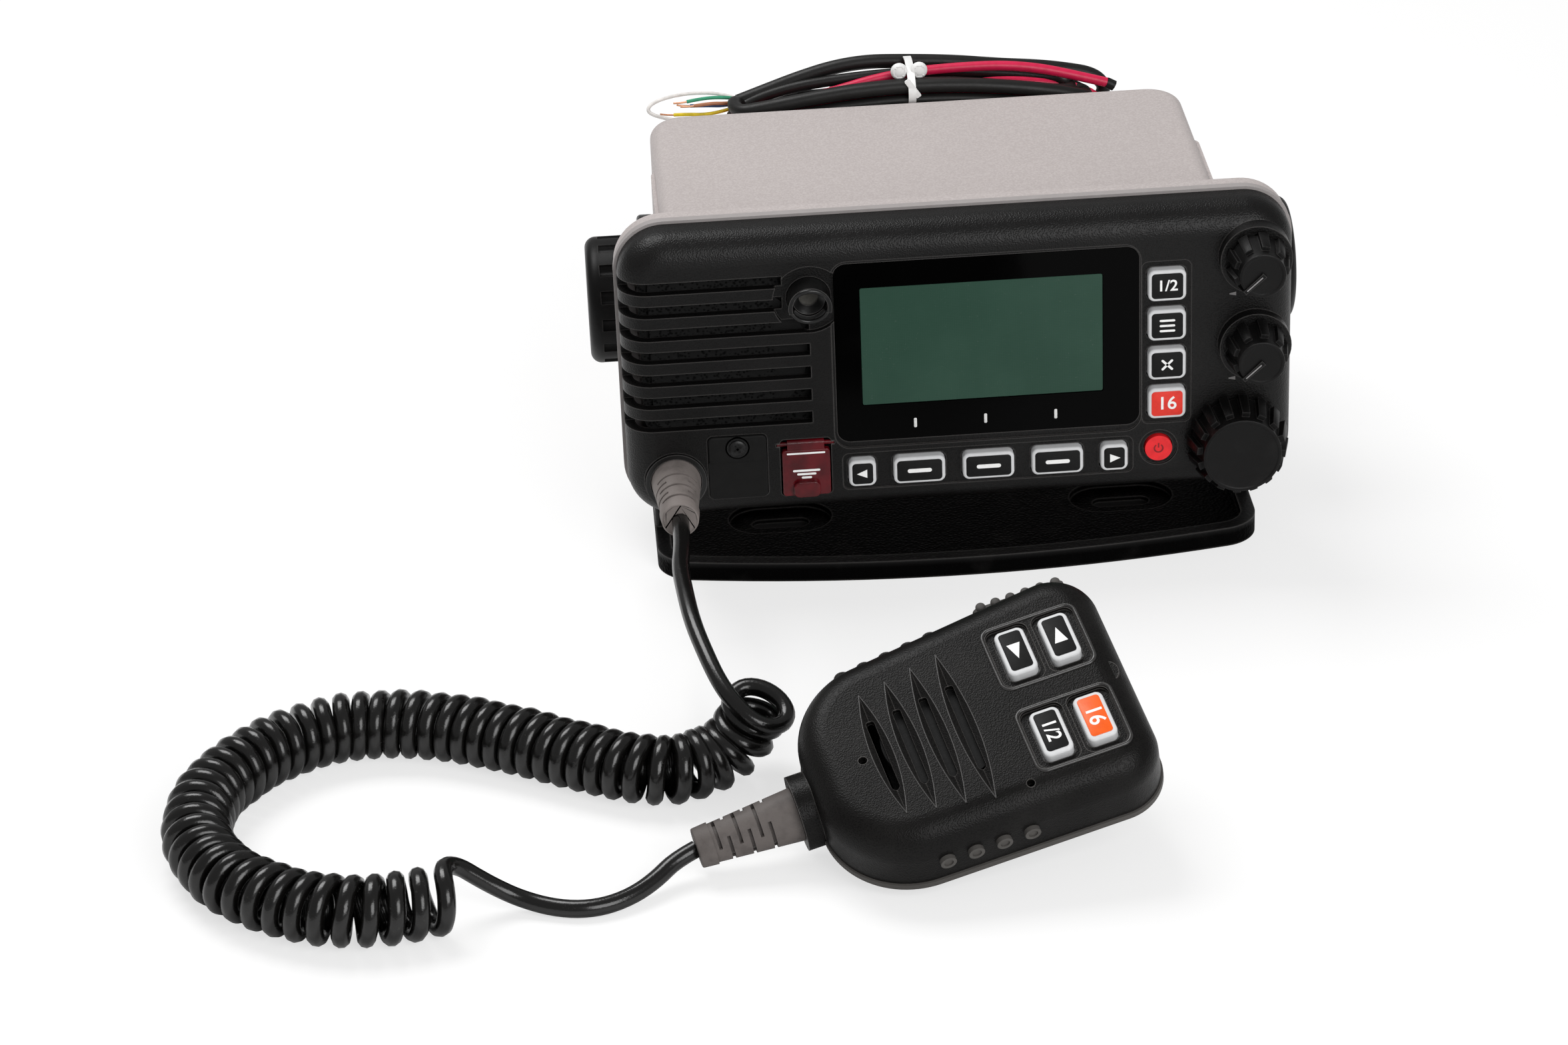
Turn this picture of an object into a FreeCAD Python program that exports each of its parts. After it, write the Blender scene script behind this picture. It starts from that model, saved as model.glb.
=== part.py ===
import FreeCAD, Part
import math
import os
import re
import Sketcher

# Fixed-mount VHF marine radio on its tilting bracket, with a hand microphone on a curly cord.
# The origin is the middle of the bracket's foot, on the surface that it stands on.
# X runs to the right as the operator sees it, Y to the rear and Z up.

Vector = FreeCAD.Vector
Rotation = FreeCAD.Rotation
doc = FreeCAD.newDocument("marine_radio")

# ---------------------------------------------------------------------------------------------
# Driving dimensions, in millimetres and degrees
# ---------------------------------------------------------------------------------------------

SIZES = [
    # bracket
    ("base_width", 166.4, "foot of the bracket, side to side"),
    ("base_depth", 92, "foot, from the top of its bowed front to the rear edge"),
    ("base_bow", 9, "how far the front edge bows out at its middle"),
    ("base_corner", 11, "corner rounding of the foot"),
    ("base_floor", 3.2, "floor of the foot"),
    ("rim_height", 5.6, "raised rim round the floor"),
    ("rim_width", 4, "width of that rim"),
    ("arm_gap", 158.2, "clear width between the arms"),
    ("arm_thickness", 4, "one arm"),
    ("arm_crown", 22.8, "radius of the arm's round top, about the tilt axis"),
    ("arm_front", 17, "front of the arm's foot ahead of the origin"),
    ("arm_rear", 37, "rear of the arm's foot behind the origin"),
    ("arm_edge", 1.2, "rounding of the arm's outer edge"),
    ("pivot_height", 64, "tilt axis above the table"),
    ("pivot_back", 10, "tilt axis behind the origin"),
    ("slot_across", 48, "screw recess from the middle line"),
    ("slot_forward", 11, "front recesses ahead of the origin"),
    ("slot_behind", 26, "rear recesses behind the origin"),
    ("recess_length", 29, "screw recess, side to side"),
    ("recess_width", 18, "screw recess, front to rear"),
    ("recess_depth", 1.8, "how far a recess is sunk in the floor"),
    ("screw_slot", 16, "length of the slot for a mounting screw"),
    ("screw_width", 5.2, "width of that slot"),
    # clamp knobs
    ("knob_radius", 17.5, "clamp knob"),
    ("knob_thickness", 14.6, "clamp knob"),
    ("knob_round", 3, "rounding of the clamp knob's outer edge"),
    ("grip_radius", 1.9, "grooves round the clamp knob"),
    ("grip_length", 11, "length of those grooves"),
    ("stud_radius", 3, "steel stud of the clamp knob"),
    ("stud_reach", 14, "how far the stud goes past the arm"),
    ("running_clearance", 0.3, "gap round a turning or sliding piece"),
    ("washer_radius", 21.5, "friction washer between arm and case"),
    ("washer_slack", 0.1, "gap between washer and arm"),
    ("shaft_clearance", 0.08, "gap round a shaft in its bearing"),
    # front panel
    ("panel_reach", 57, "panel face ahead of the tilt axis"),
    ("panel_width", 180.6, "front panel"),
    ("panel_height", 83, "front panel"),
    ("panel_depth", 12, "front panel, face to rear edge"),
    ("panel_corner", 13, "corner rounding of the panel"),
    ("panel_edge", 8, "rounding of the panel's front edge"),
    ("panel_wall", 2.8, "thickness of the panel's shell"),
    ("gasket_depth", 2.4, "light sealing strip behind the panel"),
    ("gasket_proud", 0.8, "how far that strip stands out"),
    ("flange_depth", 4.1, "flange of the case behind the strip"),
    ("flange_proud", 0.5, "how far the flange stands out"),
    ("column_recess", 0.6, "depth of the recess round the keys"),
    # speaker grille
    ("grille_top", 28, "highest slot above the panel's middle"),
    ("grille_pitch", 6.7, "slot to slot"),
    ("grille_slot", 3.4, "height of a slot"),
    ("grille_wrap", 8.6, "how far the slots wrap round the panel's side"),
    ("grille_short", 47, "inner end of the two upper slots from the middle"),
    ("grille_long", 40, "inner end of the other slots from the middle"),
    # case
    ("case_width", 154, "cast case"),
    ("case_top", 25.2, "top of the case above the tilt axis"),
    ("case_bottom", 31, "underside of the case below the tilt axis"),
    ("case_depth", 109, "case, behind its flange"),
    ("case_corner", 10, "rounding of the case's rear corners"),
    ("case_edge", 4, "rounding of the case's long edges"),
    ("case_wall", 3, "wall of the case"),
    ("side_pad", 0.9, "raised pad on each side of the case, under the washer"),
    ("side_pad_length", 72, "that pad, front to rear"),
    ("side_pad_height", 44, "that pad, top to bottom"),
    ("sink_width", 132, "finned heat sink on the rear"),
    ("sink_top", 12, "top of the heat sink above the tilt axis"),
    ("sink_depth", 14, "heat sink"),
    ("fin_gap", 4, "gap between two fins"),
    ("fin_pitch", 8, "fin to fin"),
    # display
    ("window_width", 81.4, "dark display window"),
    ("window_height", 52.2, "dark display window"),
    ("window_across", 7.5, "window's middle from the panel's middle"),
    ("window_up", 5.6, "window's middle above the panel's middle"),
    ("window_thickness", 2, "window"),
    ("window_corner", 3.5, "corner rounding of the window"),
    ("window_sunk", 0.6, "how far the window lies below the panel's face"),
    ("sill_width", 82.9, "sunk sill round the window"),
    ("sill_height", 55.1, "sunk sill round the window"),
    ("sill_across", 7.25, "sill's middle from the panel's middle"),
    ("sill_up", 5.15, "sill's middle above the panel's middle"),
    ("screen_width", 65.2, "visible display"),
    ("screen_height", 34.8, "visible display"),
    ("screen_across", 6.1, "display's middle from the panel's middle"),
    ("screen_up", 7.2, "display's middle above the panel's middle"),
    ("fit_clearance", 0.15, "gap round a piece that stands still in its place"),
    # keys
    ("key_travel", 0.8, "press of every key"),
    ("key_proud", 1.7, "how far a key stands out"),
    ("key_lip", 0.9, "retaining lip round the inner end of a key"),
    ("side_key_across", 55.6, "key column from the panel's middle"),
    ("side_key_top", 20.8, "highest key of the column above the panel's middle"),
    ("side_key_pitch", 11.6, "key to key in the column"),
    ("side_key_width", 10.2, "key of the column"),
    ("side_key_height", 9, "key of the column"),
    ("row_level", 29.4, "bottom key row below the panel's middle"),
    ("row_across", 7.1, "middle of the bottom row from the panel's middle"),
    ("soft_key_width", 14, "wide key of the bottom row"),
    ("soft_key_pitch", 18.75, "wide key to wide key"),
    ("arrow_key_width", 7.4, "arrow key at each end of the row"),
    ("arrow_key_offset", 34.2, "arrow key from the middle of the row"),
    ("row_key_height", 7.8, "key of the bottom row"),
    ("key_corner", 1.8, "corner rounding of a key"),
    ("power_across", 53.5, "power button from the panel's middle"),
    ("power_down", 27.9, "power button below the panel's middle"),
    ("power_radius", 3.7, "power button"),
    ("power_ring", 5.2, "ring recess round the power button"),
    # rotary controls
    ("small_across", 79.2, "small knobs from the panel's middle"),
    ("squelch_up", 27.5, "upper small knob above the panel's middle"),
    ("volume_up", 2, "lower small knob above the panel's middle"),
    ("small_skirt", 8.5, "radius of a small knob's skirt"),
    ("small_cap", 5.6, "radius of a small knob's cap"),
    ("small_height", 10, "small knob"),
    ("collar_radius", 9.7, "raised collar under a small knob"),
    ("collar_height", 3.4, "that collar"),
    ("dial_across", 74.8, "dial from the panel's middle"),
    ("dial_down", 26.5, "dial below the panel's middle"),
    ("dial_skirt", 13.9, "radius of the dial's skirt"),
    ("dial_cap", 9.9, "radius of the dial's cap"),
    ("dial_height", 10, "dial"),
    ("dial_gap", 1.4, "gap between the dial and the panel"),
    ("shaft_radius", 1.6, "shaft of each control"),
    ("control_size", 10, "square body of each control"),
    # covers, socket and sensor hood
    ("port_across", 60.6, "accessory port cover, to the left of the middle"),
    ("port_down", 25.7, "port cover below the middle"),
    ("port_width", 15.8, "port cover"),
    ("port_height", 18.6, "port cover"),
    ("port_proud", 0.8, "how far the port cover stands out"),
    ("cover_across", 42.2, "hinged red cover, to the left of the middle"),
    ("cover_down", 27.1, "hinged cover below the middle"),
    ("cover_width", 13.2, "hinged cover"),
    ("cover_height", 16.4, "hinged cover"),
    ("cover_thickness", 1.6, "hinged cover"),
    ("hinge_radius", 1.3, "barrel of the cover's hinge"),
    ("hinge_pin", 0.6, "radius of the moulded hinge pins"),
    ("pin_reach", 1.1, "how far each pin goes into the panel"),
    ("tray_depth", 4.2, "tray behind the hinged cover"),
    ("button_radius", 3.8, "red button under the cover"),
    ("button_travel", 1.2, "its press"),
    ("socket_across", 77.5, "cord outlet, to the left of the middle"),
    ("socket_down", 29, "cord outlet below the middle"),
    ("socket_radius", 8.3, "ring round the cord outlet"),
    ("hood_across", 39.9, "hooded tube, to the left of the middle"),
    ("hood_up", 22.4, "hooded tube above the middle"),
    ("hood_recess", 9.6, "radius of the recess round the tube"),
    ("hood_radius", 5.8, "tube"),
    ("hood_reach", 5.5, "how far the tube stands out at its top"),
    ("lens_radius", 4.4, "lens in the tube"),
    # inside
    ("board_front", 8.8, "control board behind the panel's face"),
    ("board_thickness", 1.6, "each circuit board"),
    ("speaker_radius", 20, "speaker"),
    ("speaker_depth", 9.6, "speaker"),
    ("speaker_up", 6, "speaker above the panel's middle"),
    ("speaker_across", 60.5, "speaker, to the left of the middle"),
    ("screw_radius", 1.5, "case screw"),
    ("post_radius", 3.2, "screw post"),
    ("post_length", 7.4, "screw post of the panel"),
    # rear connections
    ("antenna_across", 44, "antenna socket from the middle"),
    ("antenna_down", 8, "antenna socket below the tilt axis"),
    ("antenna_radius", 7.9, "threaded barrel of the antenna socket"),
    ("antenna_bore", 6, "mouth of the antenna socket"),
    ("antenna_length", 14, "barrel of the antenna socket"),
    ("gland_radius", 5.6, "rubber gland of a rear lead"),
    ("gland_across", 26, "glands to the left of the middle"),
    ("gland_pitch", 22, "gland to gland"),
    ("gland_down", 2, "glands below the tilt axis"),
    ("gland_length", 8, "gland outside the case"),
    # hand microphone, in its own frame: face up, cord outlet towards -X
    ("mic_yaw", 9.2, "microphone's long axis, turned from X"),
    ("mic_rise", 12.1, "its upper end lifted by the hanger stud"),
    ("mic_lean", 23.1, "leaning over on its near side"),
    ("mic_across", 8.5, "microphone's reference point on the table"),
    ("mic_ahead", 181.7, "the same, ahead of the origin"),
    ("mic_head", 18.5, "far end from the reference point"),
    ("mic_tail", 64.5, "outlet end from the reference point"),
    ("mic_near", 32, "near side from the reference point"),
    ("mic_far_head", 34.5, "talk key's side from the reference point, at the far end"),
    ("mic_far_tail", 24.5, "the same side, at the outlet end"),
    ("mic_axis", 1.5, "cord outlet, nearer than the reference point"),
    ("mic_head_round", 12, "corner rounding at the far end"),
    ("mic_tail_round", 22.5, "corner rounding at the outlet end"),
    ("mic_face_edge", 8, "rounding of the face's edge"),
    ("mic_front_depth", 17, "front shell"),
    ("mic_seal_depth", 1.8, "sealing strip between the shells"),
    ("mic_rear_depth", 6.2, "rear shell"),
    ("mic_rear_inset", 8, "how far the rear shell is drawn in"),
    ("mic_rear_edge", 6, "rounding of the rear shell's edge"),
    ("mic_wall", 2.2, "wall of both shells"),
    ("mic_collar", 9.5, "radius of the cord outlet's collar"),
    ("mic_collar_length", 4.5, "that collar"),
    ("stud_forward", 8, "hanger stud from the reference point"),
    ("stud_neck", 4.5, "radius of the stud's neck"),
    ("stud_head", 8, "radius of the stud's head"),
    ("stud_height", 13, "hanger stud"),
    ("stud_base", 12, "radius of the raised pad under the stud"),
    ("stud_base_height", 3, "that pad"),
    ("mic_key_length", 13.6, "key of the microphone, across its width"),
    ("mic_key_width", 7.6, "the same key, along the microphone"),
    ("mic_key_pitch", 11.3, "key to key along the microphone"),
    ("mic_key_spread", 25.6, "key to key across the microphone"),
    ("mic_tray_depth", 0.9, "tray that is sunk round each key"),
    ("mic_tray_edge", 2, "how far that tray goes past the key"),
    ("mic_tray_rib", 1.2, "rib left between two trays side by side"),
    ("mic_slot_length", 37, "shortest sound scoop, nearest the cord"),
    ("mic_slot_growth", 2.8, "how much longer each next scoop is"),
    ("mic_slot_pitch", 7.1, "scoop to scoop"),
    ("mic_scoop_width", 5.2, "widest part of a sound scoop"),
    ("mic_scoop_depth", 1.4, "deepest part of a sound scoop"),
    ("mic_slot_width", 2.1, "slot through the bottom of a scoop"),
    ("mic_slot_share", 0.58, "length of that slot as a share of its scoop"),
    ("mic_bump_radius", 2.2, "grip bump on the far side"),
    ("mic_bump_proud", 0.9, "how far a grip bump stands out"),
    ("mic_bump_pitch", 6, "bump to bump"),
    ("talk_length", 24, "press-to-talk bar"),
    ("talk_height", 11, "press-to-talk bar"),
    ("talk_proud", 5, "how far the bar stands out of the side"),
    ("talk_travel", 1.5, "press of the bar"),
    # cord
    ("cord_diameter", 4.6, "curly cord's own thickness"),
    ("coil_diameter", 18, "outside of the coiled part"),
    ("boot_length", 23, "boot at the panel"),
    ("mic_boot_length", 26, "boot at the microphone"),
    ("boot_base", 6.8, "radius of a boot where it leaves its housing"),
    ("boot_tip", 4.7, "radius of a boot at its end"),
    # rear leads, tied up on the heat sink
    ("lead_diameter", 4.6, "jacketed rear lead"),
    ("hank_span", 116, "tied hank, end to end"),
    ("hank_rise", 8.5, "how far the hank's middle arches up"),
    ("hank_height", 10, "hank, top to bottom"),
    ("hank_depth", 22, "hank, front to rear"),
    ("hank_gap", 1.4, "gap between the hank and the case"),
]

sheet = doc.addObject("Spreadsheet::Sheet", "Sizes")
for row, (alias, amount, note) in enumerate(SIZES, start=1):
    sheet.set(f"A{row}", alias)
    sheet.set(f"B{row}", str(amount))
    sheet.set(f"C{row}", note)
    sheet.setAlias(f"B{row}", alias)
doc.recompute()


# ---------------------------------------------------------------------------------------------
# Formulas, primitives and booleans
# ---------------------------------------------------------------------------------------------

def bound(formula):
    """A formula of size names, as an expression that reads the sheet."""
    return re.sub(r"[a-z]+(?:_[a-z]+)+", r"Sizes.\g<0>", formula)


def number(formula):
    """The value that a formula has now."""
    return float(sheet.evalExpression(bound(formula)))


def move(thing, x="0", y="0", z="0"):
    """Bind a thing's position to three formulas."""
    for axis, formula in zip("xyz", (x, y, z)):
        thing.setExpression(f".Placement.Base.{axis}", bound(formula))
    return thing


# turning +Z, the axis of a fresh cylinder or cone, to face another way
FACING = {
    "up": Rotation(),
    "down": Rotation(Vector(1, 0, 0), 180),
    "rear": Rotation(Vector(1, 0, 0), -90),
    "front": Rotation(Vector(1, 0, 0), 90),
    "right": Rotation(Vector(0, 1, 0), 90),
    "left": Rotation(Vector(0, 1, 0), -90),
}


def box(name, length, width, height, x, y, z):
    """A box with its middle at x, its lowest y at y and its lowest z at z."""
    thing = doc.addObject("Part::Box", name)
    for prop, formula in (("Length", length), ("Width", width), ("Height", height)):
        thing.setExpression(prop, bound(formula))
    return move(thing, f"({x}) - ({length}) / 2", y, z)


def cylinder(name, radius, length, x, y, z, facing="up"):
    """A cylinder that starts at x, y, z and grows the way it faces."""
    thing = doc.addObject("Part::Cylinder", name)
    thing.setExpression("Radius", bound(radius))
    thing.setExpression("Height", bound(length))
    thing.Placement.Rotation = FACING[facing]
    return move(thing, x, y, z)


def cone(name, first, last, length, x, y, z, facing="up"):
    """A cone of two radii that starts at x, y, z and grows the way it faces."""
    thing = doc.addObject("Part::Cone", name)
    for prop, formula in (("Radius1", first), ("Radius2", last), ("Height", length)):
        thing.setExpression(prop, bound(formula))
    thing.Placement.Rotation = FACING[facing]
    return move(thing, x, y, z)


def join(name, *things):
    """One solid or group of solids out of several."""
    thing = doc.addObject("Part::MultiFuse", name)
    thing.Shapes = list(things)
    return thing


def group(name, *things):
    """Separate solids kept in one node."""
    thing = doc.addObject("Part::Compound", name)
    thing.Links = list(things)
    return thing


def cut(name, base, *tools):
    """A base with one or more tools taken out of it."""
    thing = doc.addObject("Part::Cut", name)
    thing.Base = base
    thing.Tool = tools[0] if len(tools) == 1 else join(name + "_tools", *tools)
    return thing


def common(name, first, second):
    """What two things share."""
    thing = doc.addObject("Part::Common", name)
    thing.Base = first
    thing.Tool = second
    return thing


# ---------------------------------------------------------------------------------------------
# Bodies made from sketches
# ---------------------------------------------------------------------------------------------

def start_body(name, plane):
    """A body with an empty sketch on one of its own origin planes."""
    body = doc.addObject("PartDesign::Body", name)
    sketch = body.newObject("Sketcher::SketchObject", name + "_sketch")
    support = next(f for f in body.Origin.OriginFeatures if f.Role == plane)
    sketch.AttachmentSupport = [(support, "")]
    sketch.MapMode = "FlatFace"
    return body, sketch


def measure(sketch, formula, *constraint):
    """A dimension of the sketch, bound to a formula."""
    index = sketch.addConstraint(Sketcher.Constraint(*constraint, number(formula)))
    sketch.setExpression(f"Constraints[{index}]", bound(formula))


def draw_rounded(sketch, width, height, corner):
    """A rectangle with round corners about the sketch's origin."""
    half_width, half_height, radius = number(width) / 2, number(height) / 2, number(corner)
    across, along = half_width - radius, half_height - radius
    arcs = []
    middles = ((across, along, 0), (-across, along, 90), (-across, -along, 180), (across, -along, 270))
    for x, y, turn in middles:
        circle = Part.Circle(Vector(x, y, 0), Vector(0, 0, 1), radius)
        arc = Part.ArcOfCircle(circle, math.radians(turn), math.radians(turn + 90))
        arcs.append(sketch.addGeometry(arc, False))
    ends = [((across, half_height), (-across, half_height)), ((-half_width, along), (-half_width, -along)),
            ((-across, -half_height), (across, -half_height)), ((half_width, -along), (half_width, along))]
    lines = [sketch.addGeometry(Part.LineSegment(Vector(*p, 0), Vector(*q, 0)), False) for p, q in ends]
    for n in range(4):
        sketch.addConstraint(Sketcher.Constraint("Tangent", arcs[n], 2, lines[n], 1))
        sketch.addConstraint(Sketcher.Constraint("Tangent", lines[n], 2, arcs[(n + 1) % 4], 1))
        if n:
            sketch.addConstraint(Sketcher.Constraint("Equal", arcs[0], arcs[n]))
    sketch.addConstraint(Sketcher.Constraint("Horizontal", lines[0]))
    sketch.addConstraint(Sketcher.Constraint("Vertical", lines[1]))
    sketch.addConstraint(Sketcher.Constraint("Symmetric", arcs[0], 3, arcs[2], 3, -1, 1))
    measure(sketch, corner, "Radius", arcs[0])
    measure(sketch, f"({width}) - 2 * ({corner})", "DistanceX", arcs[1], 3, arcs[0], 3)
    measure(sketch, f"({height}) - 2 * ({corner})", "DistanceY", arcs[3], 3, arcs[0], 3)


def draw_outline(sketch, corners):
    """A closed run of straight lines through corners, each given by two formulas."""
    points = [Vector(number(x), number(y), 0) for x, y in corners]
    lines = [sketch.addGeometry(Part.LineSegment(points[n - 1], points[n]), False)
             for n in range(len(points))]
    for n, (x, y) in enumerate(corners):
        following = lines[(n + 1) % len(lines)]
        sketch.addConstraint(Sketcher.Constraint("Coincident", lines[n], 2, following, 1))
        measure(sketch, x, "DistanceX", -1, 1, lines[n], 2)
        measure(sketch, y, "DistanceY", -1, 1, lines[n], 2)


def pad(body, sketch, length):
    """Give the sketch a thickness along its normal."""
    feature = body.newObject("PartDesign::Pad", body.Name + "_pad")
    feature.Profile = sketch
    feature.setExpression("Length", bound(length))
    sketch.Visibility = False
    doc.recompute()
    return feature


def soften(body, feature, radius, chosen):
    """Round the edges of a feature that a test on each edge chooses."""
    names = [f"Edge{n}" for n, edge in enumerate(feature.Shape.Edges, start=1) if chosen(edge)]
    fillet = body.newObject("PartDesign::Fillet", body.Name + "_round")
    fillet.Base = (feature, names)
    fillet.setExpression("Radius", bound(radius))
    doc.recompute()
    return fillet


def flat_at(axis, level):
    """A test for edges that lie in the plane where one coordinate has this level."""
    def test(edge):
        box_ = edge.BoundBox
        low, high = getattr(box_, axis + "Min"), getattr(box_, axis + "Max")
        return abs(low - level) < 1e-4 and abs(high - level) < 1e-4
    return test


def runs_along(axis):
    """A test for straight edges that run along one axis."""
    def test(edge):
        return isinstance(edge.Curve, Part.Line) and abs(abs(getattr(edge.tangentAt(0), axis)) - 1) < 1e-6
    return test


def plate(name, width, height, corner, depth, x, y, z, edge=None):
    """A rounded plate that faces the front: its rear face is at y and its middle at x, z."""
    body, sketch = start_body(name, "XZ_Plane")
    draw_rounded(sketch, width, height, corner)
    feature = pad(body, sketch, depth)
    if edge:
        soften(body, feature, edge, flat_at("Y", feature.Shape.BoundBox.YMin))
    return move(body, x, y, z)


def slab(name, width, height, corner, depth, x, y, z, edge=None):
    """A rounded plate that lies flat: its underside is at z and its middle at x, y."""
    body, sketch = start_body(name, "XY_Plane")
    draw_rounded(sketch, width, height, corner)
    feature = pad(body, sketch, depth)
    if edge:
        soften(body, feature, edge, flat_at("Z", feature.Shape.BoundBox.ZMax))
    return move(body, x, y, z)


def turned(name, profile):
    """A solid turned about its own Y axis from a profile of (radius, height) formulas."""
    body, sketch = start_body(name, "XY_Plane")
    draw_outline(sketch, profile)
    feature = body.newObject("PartDesign::Revolution", name + "_turn")
    feature.Profile = sketch
    feature.ReferenceAxis = (next(f for f in body.Origin.OriginFeatures if f.Role == "Y_Axis"), [""])
    feature.Angle = 360
    doc.recompute()
    return body


# ---------------------------------------------------------------------------------------------
# Places on the radio, which stands level on its tilt axis
# ---------------------------------------------------------------------------------------------

FACE = "(pivot_back - panel_reach)"
PANEL_REAR = f"({FACE} + panel_depth)"
FLANGE_FRONT = f"({PANEL_REAR} + gasket_depth)"
FLANGE_REAR = f"({FLANGE_FRONT} + flange_depth)"
CASE_REAR = f"({FLANGE_REAR} + case_depth)"
SINK_REAR = f"({CASE_REAR} + sink_depth)"
BOARD = f"({FACE} + board_front)"


def behind(distance):
    """A y at a distance behind the panel's face."""
    return f"{FACE} + ({distance})"


def above(distance):
    """A z at a distance above the tilt axis, which is also the panel's middle."""
    return f"pivot_height + ({distance})"


nodes = []


def keep(thing):
    """Put a finished piece on the list of nodes, under its own name."""
    nodes.append(thing)
    return thing


# ---------------------------------------------------------------------------------------------
# Bracket
# ---------------------------------------------------------------------------------------------

BOW = "(base_width ^ 2 / (8 * base_bow) + base_bow / 2)"


def bowed_slab(name, inset, height, level):
    """The foot's outline, drawn in by an inset: a plate with a wide arc for its front edge."""
    body, sketch = start_body(name, "XY_Plane")
    half, rear = f"(base_width / 2 - ({inset}))", f"(base_depth / 2 - ({inset}))"
    centre, radius = f"({BOW} - base_depth / 2)", f"({BOW} - ({inset}))"
    side, back, middle, bow = number(half), number(rear), number(centre), number(radius)
    front = middle - math.sqrt(bow ** 2 - side ** 2)
    corners = [Vector(-side, front, 0), Vector(-side, back, 0), Vector(side, back, 0), Vector(side, front, 0)]
    lines = [sketch.addGeometry(Part.LineSegment(p, q), False) for p, q in zip(corners, corners[1:])]
    circle = Part.Circle(Vector(0, middle, 0), Vector(0, 0, 1), bow)
    angles = [math.atan2(front - middle, x) for x in (-side, side)]
    arc = sketch.addGeometry(Part.ArcOfCircle(circle, *angles), False)
    for first, second in ((lines[0], lines[1]), (lines[1], lines[2])):
        sketch.addConstraint(Sketcher.Constraint("Coincident", first, 2, second, 1))
    sketch.addConstraint(Sketcher.Constraint("Coincident", lines[2], 2, arc, 2))
    sketch.addConstraint(Sketcher.Constraint("Coincident", lines[0], 1, arc, 1))
    sketch.addConstraint(Sketcher.Constraint("Vertical", lines[0]))
    sketch.addConstraint(Sketcher.Constraint("Horizontal", lines[1]))
    sketch.addConstraint(Sketcher.Constraint("Vertical", lines[2]))
    sketch.addConstraint(Sketcher.Constraint("PointOnObject", arc, 3, -2))
    measure(sketch, half, "DistanceX", lines[0], 1, -1, 1)
    measure(sketch, half, "DistanceX", -1, 1, lines[2], 1)
    measure(sketch, rear, "DistanceY", -1, 1, lines[1], 2)
    measure(sketch, centre, "DistanceY", -1, 1, arc, 3)
    measure(sketch, radius, "Radius", arc)
    feature = pad(body, sketch, height)
    soften(body, feature, f"base_corner - ({inset})", runs_along("z"))
    return move(body, "0", "0", level)


def arm(name, side):
    """One side arm: straight edges that run from a wide foot up to a round top, on the tilt axis."""
    body, sketch = start_body(name, "YZ_Plane")
    crown, centre = number("arm_crown"), Vector(number("pivot_back"), number("pivot_height"), 0)
    feet = [Vector(-number("arm_front"), 0, 0), Vector(number("arm_rear"), 0, 0)]
    touching = []
    for foot, turn in zip(feet, (1, -1)):
        away = foot - centre
        swing = math.atan2(away.y, away.x) - turn * math.acos(crown / away.Length)
        touching.append((centre + Vector(math.cos(swing), math.sin(swing), 0) * crown, swing))
    (front_touch, front_swing), (rear_touch, rear_swing) = touching
    base = sketch.addGeometry(Part.LineSegment(feet[0], feet[1]), False)
    rear = sketch.addGeometry(Part.LineSegment(feet[1], rear_touch), False)
    circle = Part.Circle(centre, Vector(0, 0, 1), crown)
    top = sketch.addGeometry(Part.ArcOfCircle(circle, rear_swing, front_swing + 2 * math.pi), False)
    front = sketch.addGeometry(Part.LineSegment(front_touch, feet[0]), False)
    sketch.addConstraint(Sketcher.Constraint("Coincident", base, 2, rear, 1))
    sketch.addConstraint(Sketcher.Constraint("Tangent", rear, 2, top, 1))
    sketch.addConstraint(Sketcher.Constraint("Tangent", top, 2, front, 1))
    sketch.addConstraint(Sketcher.Constraint("Coincident", front, 2, base, 1))
    sketch.addConstraint(Sketcher.Constraint("PointOnObject", base, 1, -1))
    sketch.addConstraint(Sketcher.Constraint("PointOnObject", base, 2, -1))
    measure(sketch, "arm_front", "DistanceX", base, 1, -1, 1)
    measure(sketch, "arm_rear", "DistanceX", -1, 1, base, 2)
    measure(sketch, "pivot_back", "DistanceX", -1, 1, top, 3)
    measure(sketch, "pivot_height", "DistanceY", -1, 1, top, 3)
    measure(sketch, "arm_crown", "Radius", top)
    feature = pad(body, sketch, "arm_thickness")
    outer = feature.Shape.BoundBox.XMax if side > 0 else 0
    soften(body, feature, "arm_edge", lambda e: flat_at("X", outer)(e) and e.BoundBox.ZMax > 1)
    return move(body, "arm_gap / 2" if side > 0 else "-arm_gap / 2 - arm_thickness")


def bracket():
    foot = cut("bracket_foot", bowed_slab("foot_block", "0", "rim_height", "0"),
               bowed_slab("foot_tray", "rim_width", "rim_height", "base_floor"))
    whole = join("bracket_whole", foot, arm("arm_left", -1), arm("arm_right", 1))
    tools = [cylinder("stud_hole", "stud_radius + running_clearance", "arm_gap + 4 * arm_thickness",
                      "-arm_gap / 2 - 2 * arm_thickness", "pivot_back", "pivot_height", "right")]
    for row in ("-slot_forward", "slot_behind"):
        for side in ("-slot_across", "slot_across"):
            tools.append(slab("screw_recess", "recess_length", "recess_width", "recess_width / 2 - 0.01",
                              "recess_depth + 1", side, row, "base_floor - recess_depth"))
            tools.append(slab("screw_slot", "screw_slot", "screw_width", "screw_width / 2 - 0.01",
                              "base_floor + 2", side, row, "-1"))
    keep(cut("bracket", whole, *tools))


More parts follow.
